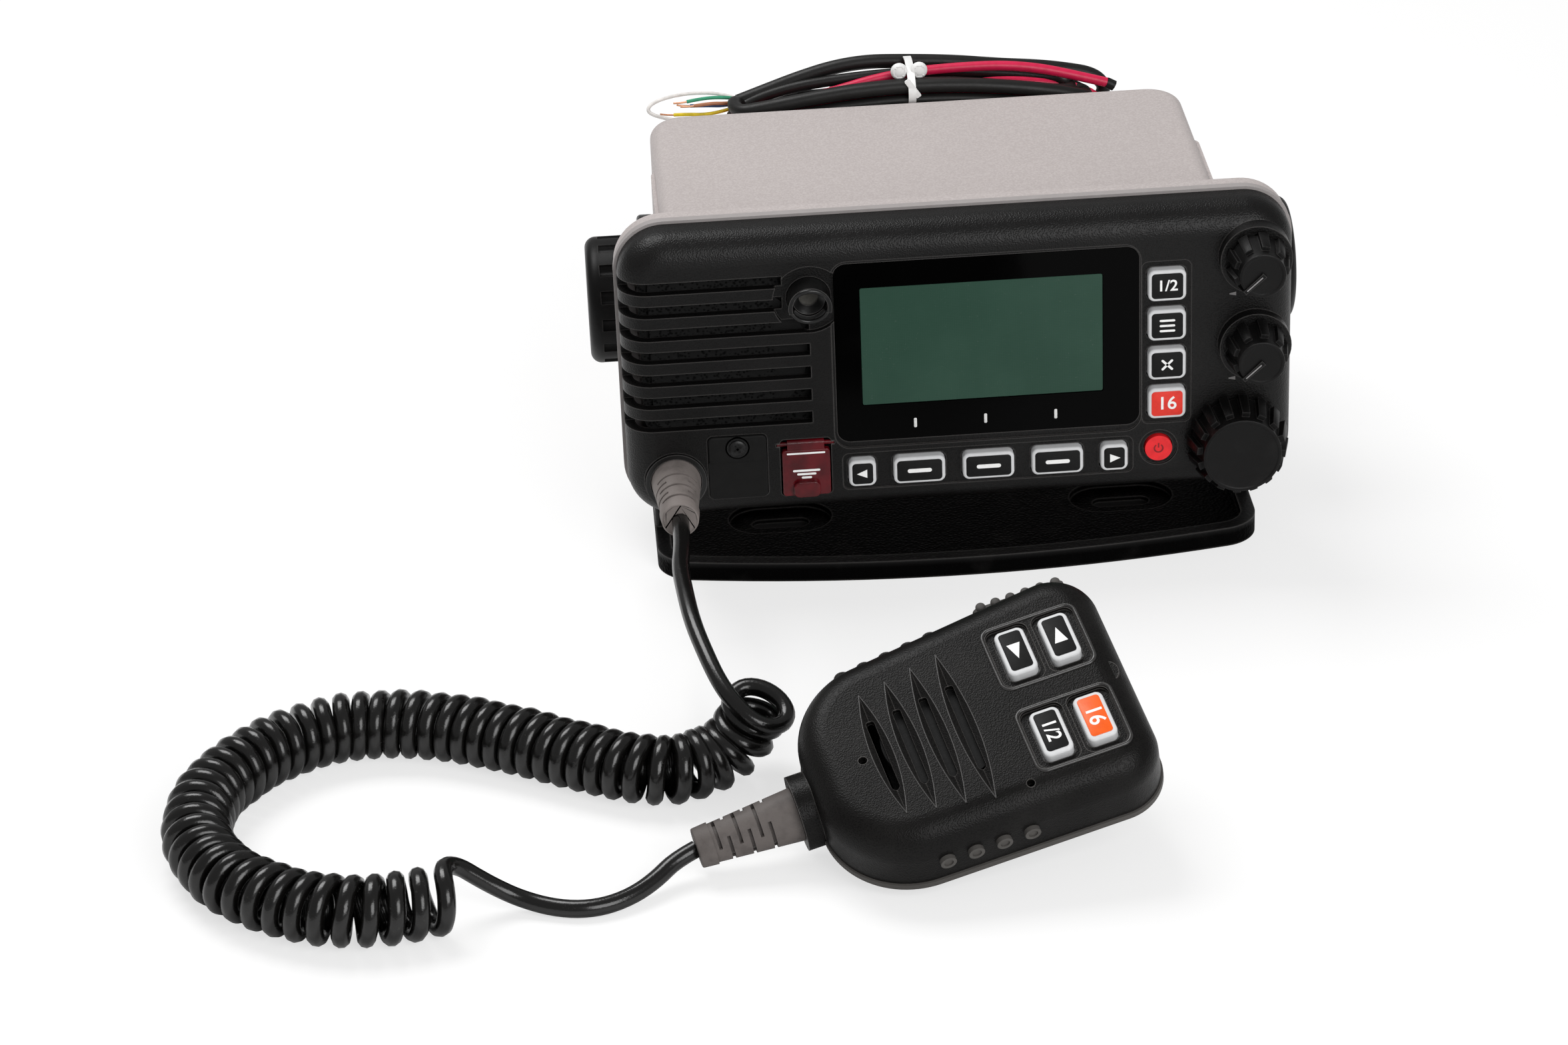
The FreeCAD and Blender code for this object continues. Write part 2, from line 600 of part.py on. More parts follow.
def clamp_knob(side, word):
    """A round plastic knob with a grooved rim, turned on a steel stud."""
    body, sketch = start_body("clamp_grip_" + word, "YZ_Plane")
    circle = sketch.addGeometry(Part.Circle(Vector(), Vector(0, 0, 1), number("knob_radius")), False)
    sketch.addConstraint(Sketcher.Constraint("Coincident", circle, 3, -1, 1))
    measure(sketch, "knob_radius", "Radius", circle)
    feature = pad(body, sketch, "knob_thickness")
    rounded = soften(body, feature, "knob_round", flat_at("X", feature.Shape.BoundBox.XMax))
    groove_sketch = body.newObject("Sketcher::SketchObject", "grip_sketch_" + word)
    plane = next(f for f in body.Origin.OriginFeatures if f.Role == "YZ_Plane")
    groove_sketch.AttachmentSupport = [(plane, "")]
    groove_sketch.MapMode = "FlatFace"
    circle = groove_sketch.addGeometry(Part.Circle(Vector(number("knob_radius"), 0, 0), Vector(0, 0, 1),
                                                   number("grip_radius")), False)
    measure(groove_sketch, "knob_radius + grip_radius * 0.3", "DistanceX", -1, 1, circle, 3)
    groove_sketch.addConstraint(Sketcher.Constraint("PointOnObject", circle, 3, -1))
    measure(groove_sketch, "grip_radius", "Radius", circle)
    groove = body.newObject("PartDesign::Pocket", "grip_" + word)
    groove.Profile = groove_sketch
    groove.setExpression("Length", bound("grip_length"))
    groove.Reversed = True
    doc.recompute()
    ring = body.newObject("PartDesign::PolarPattern", "grips_" + word)
    ring.Originals = [groove]
    ring.Axis = (next(f for f in body.Origin.OriginFeatures if f.Role == "X_Axis"), [""])
    ring.Angle = 360
    ring.Occurrences = 14
    body.Tip = ring
    doc.recompute()
    if groove.Shape.Volume >= rounded.Shape.Volume or ring.Shape.Volume >= groove.Shape.Volume:
        raise ValueError("the clamp knob's grooves cut nothing")
    if side < 0:
        body.Placement.Rotation = Rotation(Vector(0, 0, 1), 180)
    start = f"{side} * (arm_gap / 2 + arm_thickness + running_clearance)"
    move(body, start, "pivot_back", "pivot_height")
    facing = "right" if side > 0 else "left"
    bore = cylinder("clamp_bore_" + word, "stud_radius", "knob_thickness * 0.7", start,
                    "pivot_back", "pivot_height", facing)
    keep(cut("clamp_knob_" + word, body, bore))
    inner = f"{side} * (arm_gap / 2 + arm_thickness - stud_reach)"
    keep(cylinder("clamp_stud_" + word, "stud_radius",
                  "stud_reach + running_clearance + knob_thickness * 0.7", inner,
                  "pivot_back", "pivot_height", facing))


def friction_washers():
    """A rubber washer on each side, squeezed between the arm and the case."""
    rings = []
    for side, facing in ((-1, "left"), (1, "right")):
        start = f"{side} * (case_width / 2 + side_pad)"
        thick = "(arm_gap - case_width) / 2 - side_pad - washer_slack"
        disc = cylinder("washer_disc", "washer_radius", thick, start, "pivot_back", "pivot_height", facing)
        hole = cylinder("washer_hole", "stud_radius + running_clearance", thick, start,
                        "pivot_back", "pivot_height", facing)
        rings.append(cut("washer_ring", disc, hole))
    keep(group("friction_washers", *rings))


# ---------------------------------------------------------------------------------------------
# Panel, sealing strip and case
# ---------------------------------------------------------------------------------------------

CASE_SCREWS = [("-55", "36"), ("55", "36"), ("-32.5", "-37.5"), ("55", "-37.5")]
BOARD_POSTS = [(f"{side} * (case_width / 2 - 19)", y)
               for y in (f"{FLANGE_REAR} + 22.5", f"{CASE_REAR} - 22.5") for side in (-1, 1)]
BOARD_LEVEL = "(pivot_height - case_bottom + case_wall + 11)"
HINGE_Y = behind("0.6")
HINGE_Z = above("-cover_down + cover_height / 2 - hinge_radius")
SIDE_KEYS = [f"side_key_top - {n} * side_key_pitch" for n in range(4)]
ROW_KEYS = [("left_arrow_key", "-arrow_key_offset", "arrow_key_width"),
            ("left_soft_key", "-soft_key_pitch", "soft_key_width"),
            ("middle_soft_key", "0 * soft_key_pitch", "soft_key_width"),
            ("right_soft_key", "soft_key_pitch", "soft_key_width"),
            ("right_arrow_key", "arrow_key_offset", "arrow_key_width")]


def key_hole(name, width, height, across, level):
    """The opening for a key, with its running clearance."""
    return plate(name, f"{width} + 2 * running_clearance", f"{height} + 2 * running_clearance",
                 "key_corner", "panel_wall + 2", across, behind("panel_wall + 1"), above(level))


def front_panel():
    outer = plate("panel_block", "panel_width", "panel_height", "panel_corner", "panel_depth",
                  "0", PANEL_REAR, "pivot_height", edge="panel_edge")
    hollow = plate("panel_hollow", "panel_width - 2 * panel_wall", "panel_height - 2 * panel_wall",
                   "panel_corner - panel_wall", "panel_depth - panel_wall", "0", PANEL_REAR,
                   "pivot_height", edge="panel_edge - panel_wall")
    shell = cut("panel_shell", outer, hollow)
    added = [shell]
    for n, (across, level) in enumerate(CASE_SCREWS):
        added.append(cylinder(f"panel_post_{n}", "post_radius", "post_length", across, PANEL_REAR,
                              above(level), "front"))
    for name, level in (("squelch", "squelch_up"), ("volume", "volume_up")):
        added.append(cylinder(name + "_collar", "collar_radius", "collar_height + panel_wall",
                              "small_across", behind("panel_wall"), above(level), "front"))
    added.append(box("button_tray", "cover_width + 4", "tray_depth + 1", "cover_height + 4",
                     "-cover_across", behind("panel_wall / 2"), above("-cover_down - cover_height / 2 - 2")))
    added.append(box("port_tray", "port_width + 2.6", "4", "port_height + 2.6", "-port_across",
                     behind("panel_wall / 2"), above("-port_down - port_height / 2 - 1.3")))
    added.append(cylinder("outlet_boss", "boot_base + 2.4", "4", "-socket_across", behind("panel_wall - 0.2"),
                          above("-socket_down"), "rear"))
    tools = [plate("key_column", "side_key_width + 3", "3 * side_key_pitch + side_key_height + 4",
                   "key_corner", "column_recess + 2", "side_key_across", behind("column_recess"),
                   above("side_key_top - 1.5 * side_key_pitch")),
             plate("key_row", "2 * arrow_key_offset + arrow_key_width + 3", "row_key_height + 3",
                   "key_corner", "column_recess + 2", "row_across", behind("column_recess"),
                   above("-row_level")),
             plate("window_sill", "sill_width", "sill_height", "window_corner + 1", "window_sunk + 2",
                   "sill_across", behind("window_sunk"), above("sill_up")),
             plate("window_seat", "window_width + 2 * fit_clearance", "window_height + 2 * fit_clearance",
                   "window_corner", "window_thickness + 3", "window_across",
                   behind("window_thickness"), above("window_up")),
             plate("screen_hole", "screen_width + 4", "screen_height + 4", "1.5", "panel_wall + 2",
                   "screen_across", behind("panel_wall + 1"), above("screen_up")),
             plate("button_recess", "cover_width + 2 * running_clearance",
                   "cover_height + 2 * running_clearance", "1.2", "tray_depth + 2",
                   "-cover_across", behind("tray_depth"), above("-cover_down")),
             plate("port_recess", "port_width + 2 * fit_clearance", "port_height + 2 * fit_clearance",
                   "1.5", "4", "-port_across", behind("3"), above("-port_down")),
             cylinder("cover_bearing", "hinge_pin + shaft_clearance", "cover_width + 2 * pin_reach + 0.4",
                      "-cover_across - cover_width / 2 - pin_reach - 0.2", HINGE_Y, HINGE_Z, "right"),
             cylinder("button_hole", "button_radius + running_clearance", "12", "-cover_across",
                      behind("1"), above("-cover_down"), "rear"),
             cylinder("outlet_hole", "boot_base + fit_clearance", "panel_wall + 6", "-socket_across",
                      behind("-2"), above("-socket_down"), "rear"),
             cylinder("outlet_seat", "socket_radius + fit_clearance", "3", "-socket_across",
                      behind("1.4"), above("-socket_down"), "front"),
             cylinder("hood_seat", "hood_recess", "4", "-hood_across", behind("1.8"), above("hood_up"),
                      "front"),
             cylinder("hood_hole", "hood_radius + fit_clearance", "8", "-hood_across", behind("-2"),
                      above("hood_up"), "rear"),
             cylinder("power_hole", "power_radius + running_clearance", "8", "power_across", behind("-2"),
                      above("-power_down"), "rear"),
             cylinder("power_recess", "power_ring", "2", "power_across", behind("0.7"),
                      above("-power_down"), "front"),
             cylinder("dial_hole", "shaft_radius * 2 + fit_clearance", "8", "dial_across", behind("-2"),
                      above("-dial_down"), "rear"),
             cylinder("port_screw_hole", "screw_radius + fit_clearance", "8", "-port_across", behind("0"),
                      above("-port_down + port_height * 0.32"), "rear")]
    for name, level in (("squelch", "squelch_up"), ("volume", "volume_up")):
        tools.append(cylinder(name + "_hole", "shaft_radius * 2 + fit_clearance", "12", "small_across",
                              behind("-collar_height - 2"), above(level), "rear"))
    for n, level in enumerate(SIDE_KEYS):
        tools.append(key_hole(f"side_key_hole_{n}", "side_key_width", "side_key_height",
                              "side_key_across", level))
    for name, offset, width in ROW_KEYS:
        tools.append(key_hole(name + "_hole", width, "row_key_height", f"row_across + {offset}",
                              "-row_level"))
    for n, (across, level) in enumerate(CASE_SCREWS):
        tools.append(cylinder(f"panel_thread_{n}", "screw_radius + fit_clearance", "post_length", across,
                              PANEL_REAR, above(level), "front"))
    for n in range(7):
        inner = "grille_short" if n < 2 else "grille_long"
        length = f"(panel_width / 2 + 1 - {inner})"
        tools.append(box(f"grille_slot_{n}", length, "grille_wrap + 2", "grille_slot",
                         f"-{inner} - {length} / 2", behind("-2"),
                         above(f"grille_top - {n} * grille_pitch - grille_slot / 2")))
    keep(cut("front_panel", join("panel_built_up", *added), *tools))


def panel_gasket():
    grown = "+ 2 * gasket_proud"
    ring = cut("gasket_ring",
               plate("gasket_block", f"panel_width {grown}", f"panel_height {grown}",
                     "panel_corner + gasket_proud", "gasket_depth", "0", FLANGE_FRONT, "pivot_height"),
               plate("gasket_hole", "panel_width - 3.4 * panel_wall", "panel_height - 3.4 * panel_wall",
                     "panel_corner - 1.7 * panel_wall", "gasket_depth", "0", FLANGE_FRONT, "pivot_height"))
    holes = [cylinder(f"gasket_screw_{n}", "post_radius + fit_clearance", "gasket_depth + 2", across,
                      f"{PANEL_REAR} - 1", above(level), "rear")
             for n, (across, level) in enumerate(CASE_SCREWS)]
    keep(cut("panel_gasket", ring, *holes))


def case_block(name, inset, forward):
    """The case's outer shape or, with an inset, the room inside it."""
    body, sketch = start_body(name, "XY_Plane")
    half = f"case_width / 2 - ({inset})"
    rear = f"{CASE_REAR} - ({inset})"
    front = f"{FLANGE_FRONT} - ({forward})"
    draw_outline(sketch, [(f"-({half})", front), (half, front), (half, rear), (f"-({half})", rear)])
    feature = pad(body, sketch, f"case_top + case_bottom - 2 * ({inset})")
    back = number(rear)
    corners = soften(body, feature, f"case_corner - ({inset})",
                     lambda e: runs_along("z")(e) and abs(e.BoundBox.YMin - back) < 1e-4)
    low, high = 0, corners.Shape.BoundBox.ZMax
    ahead = number(front)
    soften(body, corners, f"case_edge - ({inset})",
           lambda e: (flat_at("Z", low)(e) or flat_at("Z", high)(e)) and e.BoundBox.YMax > ahead + 1)
    return move(body, "0", "0", f"pivot_height - case_bottom + ({inset})")


def chassis():
    flange = plate("flange_block", "panel_width + 2 * flange_proud", "panel_height + 2 * flange_proud",
                   "panel_corner + flange_proud", "flange_depth", "0", FLANGE_REAR, "pivot_height")
    side_pads = slab("side_pad_block", "case_width + 2 * side_pad", "side_pad_length", "3", "side_pad_height",
                     "0", "pivot_back", "pivot_height - side_pad_height / 2")
    sink = box("sink_block", "sink_width", "sink_depth + 2", "case_bottom + sink_top - 3", "0",
               f"{CASE_REAR} - 2", "pivot_height - case_bottom + 3")
    floor = "pivot_height - case_bottom + case_wall"
    posts = [cylinder(f"board_post_{n}", "post_radius", "12", x, y, f"{floor} - 1")
             for n, (x, y) in enumerate(BOARD_POSTS)]
    bosses = [cylinder("stud_boss_" + facing, "stud_radius + 4", "12", f"{side} * (case_width / 2 - 12.5)",
                       "pivot_back", "pivot_height", facing) for side, facing in ((-1, "left"), (1, "right"))]
    lip = [cylinder(f"flange_pad_{n}", "post_radius + 1", "flange_depth", across, FLANGE_FRONT,
                    above(level), "rear")
           for n, (across, level) in enumerate(CASE_SCREWS)]
    hollow = cut("case_hollow", case_block("case_room", "case_wall", "6"),
                 join("case_insides", *posts, *bosses))
    solid = join("case_built_up", case_block("case_block", "0", "0"), flange, sink, side_pads, *lip)
    shell = cut("case_shell", solid, hollow)
    tools = []
    for side, facing in ((-1, "left"), (1, "right")):
        tools.append(cylinder("stud_thread_" + facing, "stud_radius + shaft_clearance", "14.9",
                              f"{side} * (case_width / 2 - 13.9)", "pivot_back", "pivot_height", facing))
    for n, (across, level) in enumerate(CASE_SCREWS):
        tools.append(cylinder(f"flange_hole_{n}", "screw_radius + fit_clearance", "flange_depth + 2", across,
                              f"{FLANGE_FRONT} - 1", above(level), "rear"))
    for n, (x, y) in enumerate(BOARD_POSTS):
        tools.append(cylinder(f"board_thread_{n}", "screw_radius + fit_clearance", "9", x, y,
                              f"{floor} + 2.5"))
    fins = int(number("(sink_width / 2) / fin_pitch")) - 1
    for n in range(-fins, fins + 1):
        if n * number("fin_pitch") > number("-gland_across - gland_pitch - 14"):
            if n * number("fin_pitch") < number("antenna_across + 14"):
                continue
        tools.append(box(f"fin_gap_{n + fins}", "fin_gap", "sink_depth - 4", "case_bottom + sink_top",
                         f"{n} * fin_pitch", f"{SINK_REAR} - sink_depth + 6", "pivot_height - case_bottom"))
    tools.append(cylinder("antenna_hole", "antenna_bore + 1", "sink_depth + case_wall + 6", "antenna_across",
                          f"{CASE_REAR} - case_wall - 3", above("-antenna_down"), "rear"))
    for n in range(2):
        tools.append(cylinder(f"gland_hole_{n}", "gland_radius - 1.2 + fit_clearance",
                              "sink_depth + case_wall + 6", f"-gland_across - {n} * gland_pitch",
                              f"{CASE_REAR} - case_wall - 3", above("-gland_down"), "rear"))
    keep(cut("chassis", shell, *tools))


def circuit_boards():
    """The control board behind the panel and the main board in the case."""
    control = box("control_board", "104", "board_thickness", "62", "33.5", BOARD, above("-31"))
    holes = [cylinder(f"main_hole_{n}", "screw_radius + fit_clearance", "6", x, y, f"{BOARD_LEVEL} - 2")
             for n, (x, y) in enumerate(BOARD_POSTS)]
    blank = slab("main_blank", "case_width - 2 * case_wall - 18", "case_depth - 25", "3", "board_thickness",
                 "0", f"({FLANGE_REAR} + {CASE_REAR}) / 2", BOARD_LEVEL)
    main = cut("main_board", blank, *holes)
    shield = slab("output_stage", "54", "34", "1", "11", "20", "42", f"{BOARD_LEVEL} + board_thickness")
    keep(group("circuit_boards", control, join("main_board_built", main, shield)))


def screw(name, x, y, z, length, facing):
    """A pan-head screw: its head starts at x, y, z and its shank goes the way it faces."""
    back = {"front": "rear", "rear": "front", "down": "up"}[facing]
    return join(name, cylinder(name + "_head", "screw_radius * 1.9", "2", x, y, z, back),
                cylinder(name + "_shank", "screw_radius", length, x, y, z, facing))


def case_screws():
    """Screws of one kind hold the panel to the case, the main board down and the port cover shut."""
    length = "flange_depth + gasket_depth + post_length - 0.6"
    parts = [screw(f"panel_screw_{n}", across, FLANGE_REAR, above(level), length, "front")
             for n, (across, level) in enumerate(CASE_SCREWS)]
    parts += [screw(f"board_screw_{n}", x, y, f"{BOARD_LEVEL} + board_thickness", "7", "down")
              for n, (x, y) in enumerate(BOARD_POSTS)]
    parts.append(screw("port_screw", "-port_across", behind("1.1"), above("-port_down + port_height * 0.32"),
                       "5", "rear"))
    keep(group("case_screws", *parts))


# ---------------------------------------------------------------------------------------------
# What is fitted to the panel
# ---------------------------------------------------------------------------------------------

def display():
    window = plate("window_sheet", "window_width", "window_height", "window_corner",
                   "window_thickness - window_sunk", "window_across", behind("window_thickness"),
                   above("window_up"))
    hole = plate("window_clear", "screen_width", "screen_height", "0.6", "window_thickness + 1",
                 "screen_across", behind("window_thickness"), above("screen_up"))
    keep(cut("display_window", window, hole))
    module = plate("module_frame", "screen_width + 3.6", "screen_height + 3.6", "1.5",
                   "board_front - window_thickness - 0.1", "screen_across", BOARD, above("screen_up"))
    glass = plate("module_glass", "screen_width - 0.4", "screen_height - 0.4", "0.5", "1.4",
                  "screen_across", behind("window_thickness + 0.2"), above("screen_up"))
    keep(join("display_module", module, glass))


def speaker():
    """A round speaker: wide rim, narrower basket and magnet, seated on the panel's inside."""
    x, z = "-speaker_across", above("speaker_up")
    keep(join("speaker",
              cylinder("speaker_rim", "speaker_radius", "2.4", x, behind("panel_wall + 0.7"), z, "rear"),
              cone("speaker_basket", "speaker_radius - 2", "speaker_radius * 0.6", "speaker_depth - 6", x,
                   behind("panel_wall + 3"), z, "rear"),
              cylinder("speaker_magnet", "speaker_radius * 0.55", "5.6", x,
                       behind("panel_wall + speaker_depth - 4"), z, "rear")))
    width = "(panel_width / 2 - panel_wall - 5 - hood_across - hood_recess)"
    keep(plate("speaker_mesh", width, "44", "3", "0.5", f"-hood_across - hood_recess - {width} / 2",
               behind("panel_wall + 0.6"), above("grille_top - 3 * grille_pitch + 0.1")))


def cord_outlet():
    """The screwed ring and the moulded boot where the microphone's cord leaves the panel."""
    x, z = "-socket_across", above("-socket_down")
    ring = cylinder("ring_disc", "socket_radius", "2.2", x, behind("1.4"), z, "front")
    hole = cylinder("ring_hole", "boot_base + fit_clearance", "4", x, behind("2"), z, "front")
    keep(cut("cord_ring", ring, hole))
    taper = cone("boot_taper", "boot_base", "boot_tip", "boot_length", x, behind("0"), z, "front")
    root = cylinder("boot_root", "boot_base", "panel_wall + 5.4", x, behind("0"), z, "rear")
    stop = cylinder("boot_stop", "boot_base + 1.6", "1.4", x, behind("panel_wall + 4"), z, "rear")
    keep(join("cord_boot", taper, root, stop))


def hood():
    """A tube cut off at a slant, with a small lens at its bottom."""
    x, z = "-hood_across", above("hood_up")
    tube = cylinder("hood_tube", "hood_radius", "hood_reach + 6", x, behind("6"), z, "front")
    bore = cylinder("hood_bore", "hood_radius - 1.1", "hood_reach + 6", x, behind("4.4"), z, "front")
    slant = box("hood_slant", "hood_radius * 3", "10", "20", x, behind("-hood_reach - 8.6"),
                above("hood_up - 20"))
    slant.Placement.Rotation = Rotation(Vector(1, 0, 0), -14)
    keep(cut("indicator_hood", tube, bore, slant))
    keep(cylinder("indicator_lens", "hood_radius - 1.1 - fit_clearance", "2", x, behind("4.4"), z, "front"))


def port_cover():
    """A removable plate over the accessory port, with a pull lip and one screw."""
    base = plate("port_plate", "port_width", "port_height", "1.4", "2.8 + port_proud", "-port_across",
                 behind("2.8"), above("-port_down"), edge="0.5")
    step = box("port_step", "port_width + 1", "0.6", "port_height", "-port_across",
               behind("-port_proud - 0.1"), above("-port_down - port_height * 0.9"))
    seat = cylinder("port_screw_seat", "screw_radius * 2.2", "4", "-port_across", behind("1.1"),
                    above("-port_down + port_height * 0.32"), "front")
    hole = cylinder("port_screw_way", "screw_radius + fit_clearance", "6", "-port_across", behind("-1"),
                    above("-port_down + port_height * 0.32"), "rear")
    keep(cut("port_cover", base, step, seat, hole))


def distress_switch():
    """A clear red cover hinged along its top edge, over a red button in a tray."""
    lid = plate("lid_plate", "cover_width - 0.2", "cover_height - hinge_radius * 2", "1",
                "cover_thickness", "-cover_across", behind("cover_thickness - 0.9"),
                above("-cover_down - hinge_radius"), edge="0.4")
    tab = plate("lid_tab", "cover_width * 0.55", "4.6", "1.6", "1.4", "-cover_across", behind("-0.9"),
                above("-cover_down - cover_height / 2 + 2.3"), edge="0.4")
    barrel = cylinder("lid_barrel", "hinge_radius", "cover_width - 3.2",
                      "-cover_across - cover_width / 2 + 1.6", HINGE_Y, HINGE_Z, "right")
    bridge = box("lid_bridge", "cover_width - 3.2", "cover_thickness", "hinge_radius * 2", "-cover_across",
                 behind("-0.7"), above("-cover_down + cover_height / 2 - hinge_radius * 2.6"))
    pins = cylinder("lid_pins", "hinge_pin", "cover_width + 2 * pin_reach",
                    "-cover_across - cover_width / 2 - pin_reach", HINGE_Y, HINGE_Z, "right")
    keep(join("distress_cover", lid, tab, barrel, bridge, pins))
    stem = cylinder("button_stem", "button_radius", "tray_depth + 1.3", "-cover_across", behind("2"),
                    above("-cover_down"), "rear")
    stop = cylinder("button_stop", "button_radius + 1", "0.6", "-cover_across", behind("tray_depth + 2.7"),
                    above("-cover_down"), "rear")
    keep(join("distress_button", stem, stop))


# ---------------------------------------------------------------------------------------------
# Keys and rotary controls
# ---------------------------------------------------------------------------------------------

def key(label, width, height, across, level):
    """A key with a rounded top and a lip that holds it behind the panel."""
    top = plate(label + "_top", width, height, "key_corner", "key_proud + panel_wall + 1.2", across,
                behind("panel_wall + 1.2"), above(level), edge="0.7")
    lip = plate(label + "_lip", f"{width} + 2 * key_lip", f"{height} + 2 * key_lip", "key_corner", "1",
                across, behind("panel_wall + 1.2"), above(level))
    stem = box(label + "_stem", "3", "board_front - panel_wall - 2.1 - key_travel", "3", across,
               behind("panel_wall + 1.2"), above(f"{level} - 1.5"))
    keep(join(label, top, lip, stem))


def keys():
    for n, level in enumerate(SIDE_KEYS, start=1):
        key(("first", "second", "third", "red")[n - 1] + "_side_key", "side_key_width", "side_key_height",
            "side_key_across", level)
    for name, offset, width in ROW_KEYS:
        key(name, width, "row_key_height", f"row_across + {offset}", "-row_level")
    x, z = "power_across", above("-power_down")
    keep(join("power_button",
              cylinder("power_top", "power_radius", "panel_wall + 1.6", x, behind("panel_wall + 1"), z,
                       "front"),
              cylinder("power_lip", "power_radius + 1", "1", x, behind("panel_wall + 0.2"), z, "rear"),
              cylinder("power_stem", "1.5", "board_front - panel_wall - 1.9 - key_travel", x,
                       behind("panel_wall + 1"), z, "rear")))


def knob(label, across, level, skirt, cap, height, gap, flutes, slack, press):
    """A turned knob with a conical fluted skirt, facing the front, and the shaft that carries it."""
    bore = f"shaft_radius + {slack}"
    profile = [("0 * small_cap", f"{height} - 1.6"), (bore, f"{height} - 1.6"), (bore, "0"), (skirt, "0"),
               (skirt, "1.6"), (f"{cap} + 0.6", f"{height} - 1"), (cap, height), ("0 * small_cap", height)]
    body = turned(label + "_turned", profile)
    body.Placement.Rotation = Rotation(Vector(0, 0, 1), 180)
    seat = behind(f"-({gap})")
    move(body, across, seat, above(level))
    tools = []
    for n in range(flutes):
        turn = 2 * math.pi * (n + 0.5) / flutes
        x = f"({skirt} + 0.5) * {math.cos(turn):.4f}"
        z = f"({skirt} + 0.5) * {math.sin(turn):.4f}"
        tools.append(cylinder(f"{label}_flute_{n}", f"({skirt} - {cap}) * 0.5", height, f"{across} + {x}",
                              f"{seat} - 1.8", above(f"{level} + {z}"), "front"))
    keep(cut(label, body, *tools))
    name = label.replace("_knob", "_shaft")
    keep(cylinder(name, "shaft_radius", f"{gap} + {height} - 1.7 - {press} + panel_wall + 2.2", across,
                  behind("panel_wall + 2.2"), above(level), "front"))


def control(name, across, level, front):
    """The square body and round bushing of a potentiometer or encoder, on the control board."""
    body = box(name + "_can", "control_size", "board_front - panel_wall - 1", "control_size", across,
               behind("panel_wall + 1"), above(f"{level} - control_size / 2"))
    bush = cylinder(name + "_bush", "shaft_radius * 2", f"panel_wall + 1 + {front}", across,
                    behind("panel_wall + 1"), above(level), "front")
    bore = cylinder(name + "_bore", "shaft_radius + shaft_clearance", f"panel_wall + 4 + {front}", across,
                    behind("panel_wall + 2.6"), above(level), "front")
    return cut(name, join(name + "_solid", body, bush), bore)


def rotary_controls():
    knob("squelch_knob", "small_across", "squelch_up", "small_skirt", "small_cap", "small_height",
         "collar_height + 0.6", 9, "0", "0")
    knob("volume_knob", "small_across", "volume_up", "small_skirt", "small_cap", "small_height",
         "collar_height + 0.6", 9, "0", "0")
    knob("dial_knob", "dial_across", "-dial_down", "dial_skirt", "dial_cap", "dial_height", "dial_gap", 16,
         "shaft_clearance", "key_travel")
    keep(group("rotary_controls",
               control("squelch_control", "small_across", "squelch_up", "collar_height"),
               control("volume_control", "small_across", "volume_up", "collar_height"),
               control("dial_encoder", "dial_across", "-dial_down", "0.2")))


# ---------------------------------------------------------------------------------------------
# Rear connections
# ---------------------------------------------------------------------------------------------

def antenna_socket():
    x, z = "antenna_across", above("-antenna_down")
    flange = cylinder("antenna_flange", "antenna_radius + 2.4", "2", x, SINK_REAR, z, "rear")
    barrel = cylinder("antenna_barrel", "antenna_radius", "antenna_length", x, SINK_REAR, z, "rear")
    shank = cylinder("antenna_shank", "antenna_bore + 0.8", "sink_depth + case_wall + 2", x,
                     f"{SINK_REAR} - sink_depth - case_wall - 2", z, "rear")
    mouth = cylinder("antenna_mouth", "antenna_bore", "antenna_length - 2", x, f"{SINK_REAR} + 2.4", z,
                     "rear")
    pin_hole = cylinder("antenna_pin_hole", "1.9", "8", x, f"{SINK_REAR} - 3", z, "rear")
    keep(cut("antenna_socket", join("antenna_whole", flange, barrel, shank), mouth, pin_hole))


def cable_glands():
    parts = []
    for n in range(2):
        x, z = f"-gland_across - {n} * gland_pitch", above("-gland_down")
        parts.append(join(f"gland_{n}",
                          cone(f"gland_taper_{n}", "gland_radius", "gland_radius - 1.6", "gland_length", x,
                               SINK_REAR, z, "rear"),
                          cylinder(f"gland_root_{n}", "gland_radius - 1.2", "sink_depth + case_wall + 1", x,
                                   f"{SINK_REAR} - sink_depth - case_wall - 1", z, "rear")))
    keep(group("cable_glands", *parts))


HANK_ARCH = "((hank_span / 2) ^ 2 / (2 * hank_rise) + hank_rise / 2)"


def hank():
    """The rear leads, folded and tied, arching over the top of the heat sink."""
    body, sketch = start_body("rear_hank", "YZ_Plane")
    draw_rounded(sketch, "hank_depth", "hank_height", "hank_height * 0.45")
    sketch.AttachmentOffset = FreeCAD.Placement(Vector(0, number(HANK_ARCH), 0), Rotation())
    sketch.setExpression(".AttachmentOffset.Base.y", bound(HANK_ARCH))
    feature = body.newObject("PartDesign::Revolution", "hank_arch")
    feature.Profile = sketch
    feature.ReferenceAxis = (next(f for f in body.Origin.OriginFeatures if f.Role == "Y_Axis"), [""])
    feature.Midplane = True
    feature.setExpression("Angle", bound(f"2 * asin(hank_span / 2 / {HANK_ARCH})"))
    doc.recompute()
    half_height = "hank_height / 2 + 0.4"
    move(body, "0", f"{CASE_REAR} + hank_gap + hank_depth / 2",
         above(f"sink_top + {half_height} + hank_rise - {HANK_ARCH}"))
    keep(body)
    inside = "hank_height + 0.8"
    outer = box("tie_outer", "3", "hank_depth + 2.2", f"{inside} + 1.6", "0", f"{CASE_REAR} + hank_gap - 1.1",
                above("sink_top + hank_rise - 0.8"))
    hole = box("tie_hole", "5", "hank_depth + 0.6", inside, "0", f"{CASE_REAR} + hank_gap - 0.3",
               above("sink_top + hank_rise"))
    keep(cut("hank_tie", outer, hole))


# ---------------------------------------------------------------------------------------------
# Hand microphone, built face up about its reference point and then laid on the table
# ---------------------------------------------------------------------------------------------

mic_pieces = []


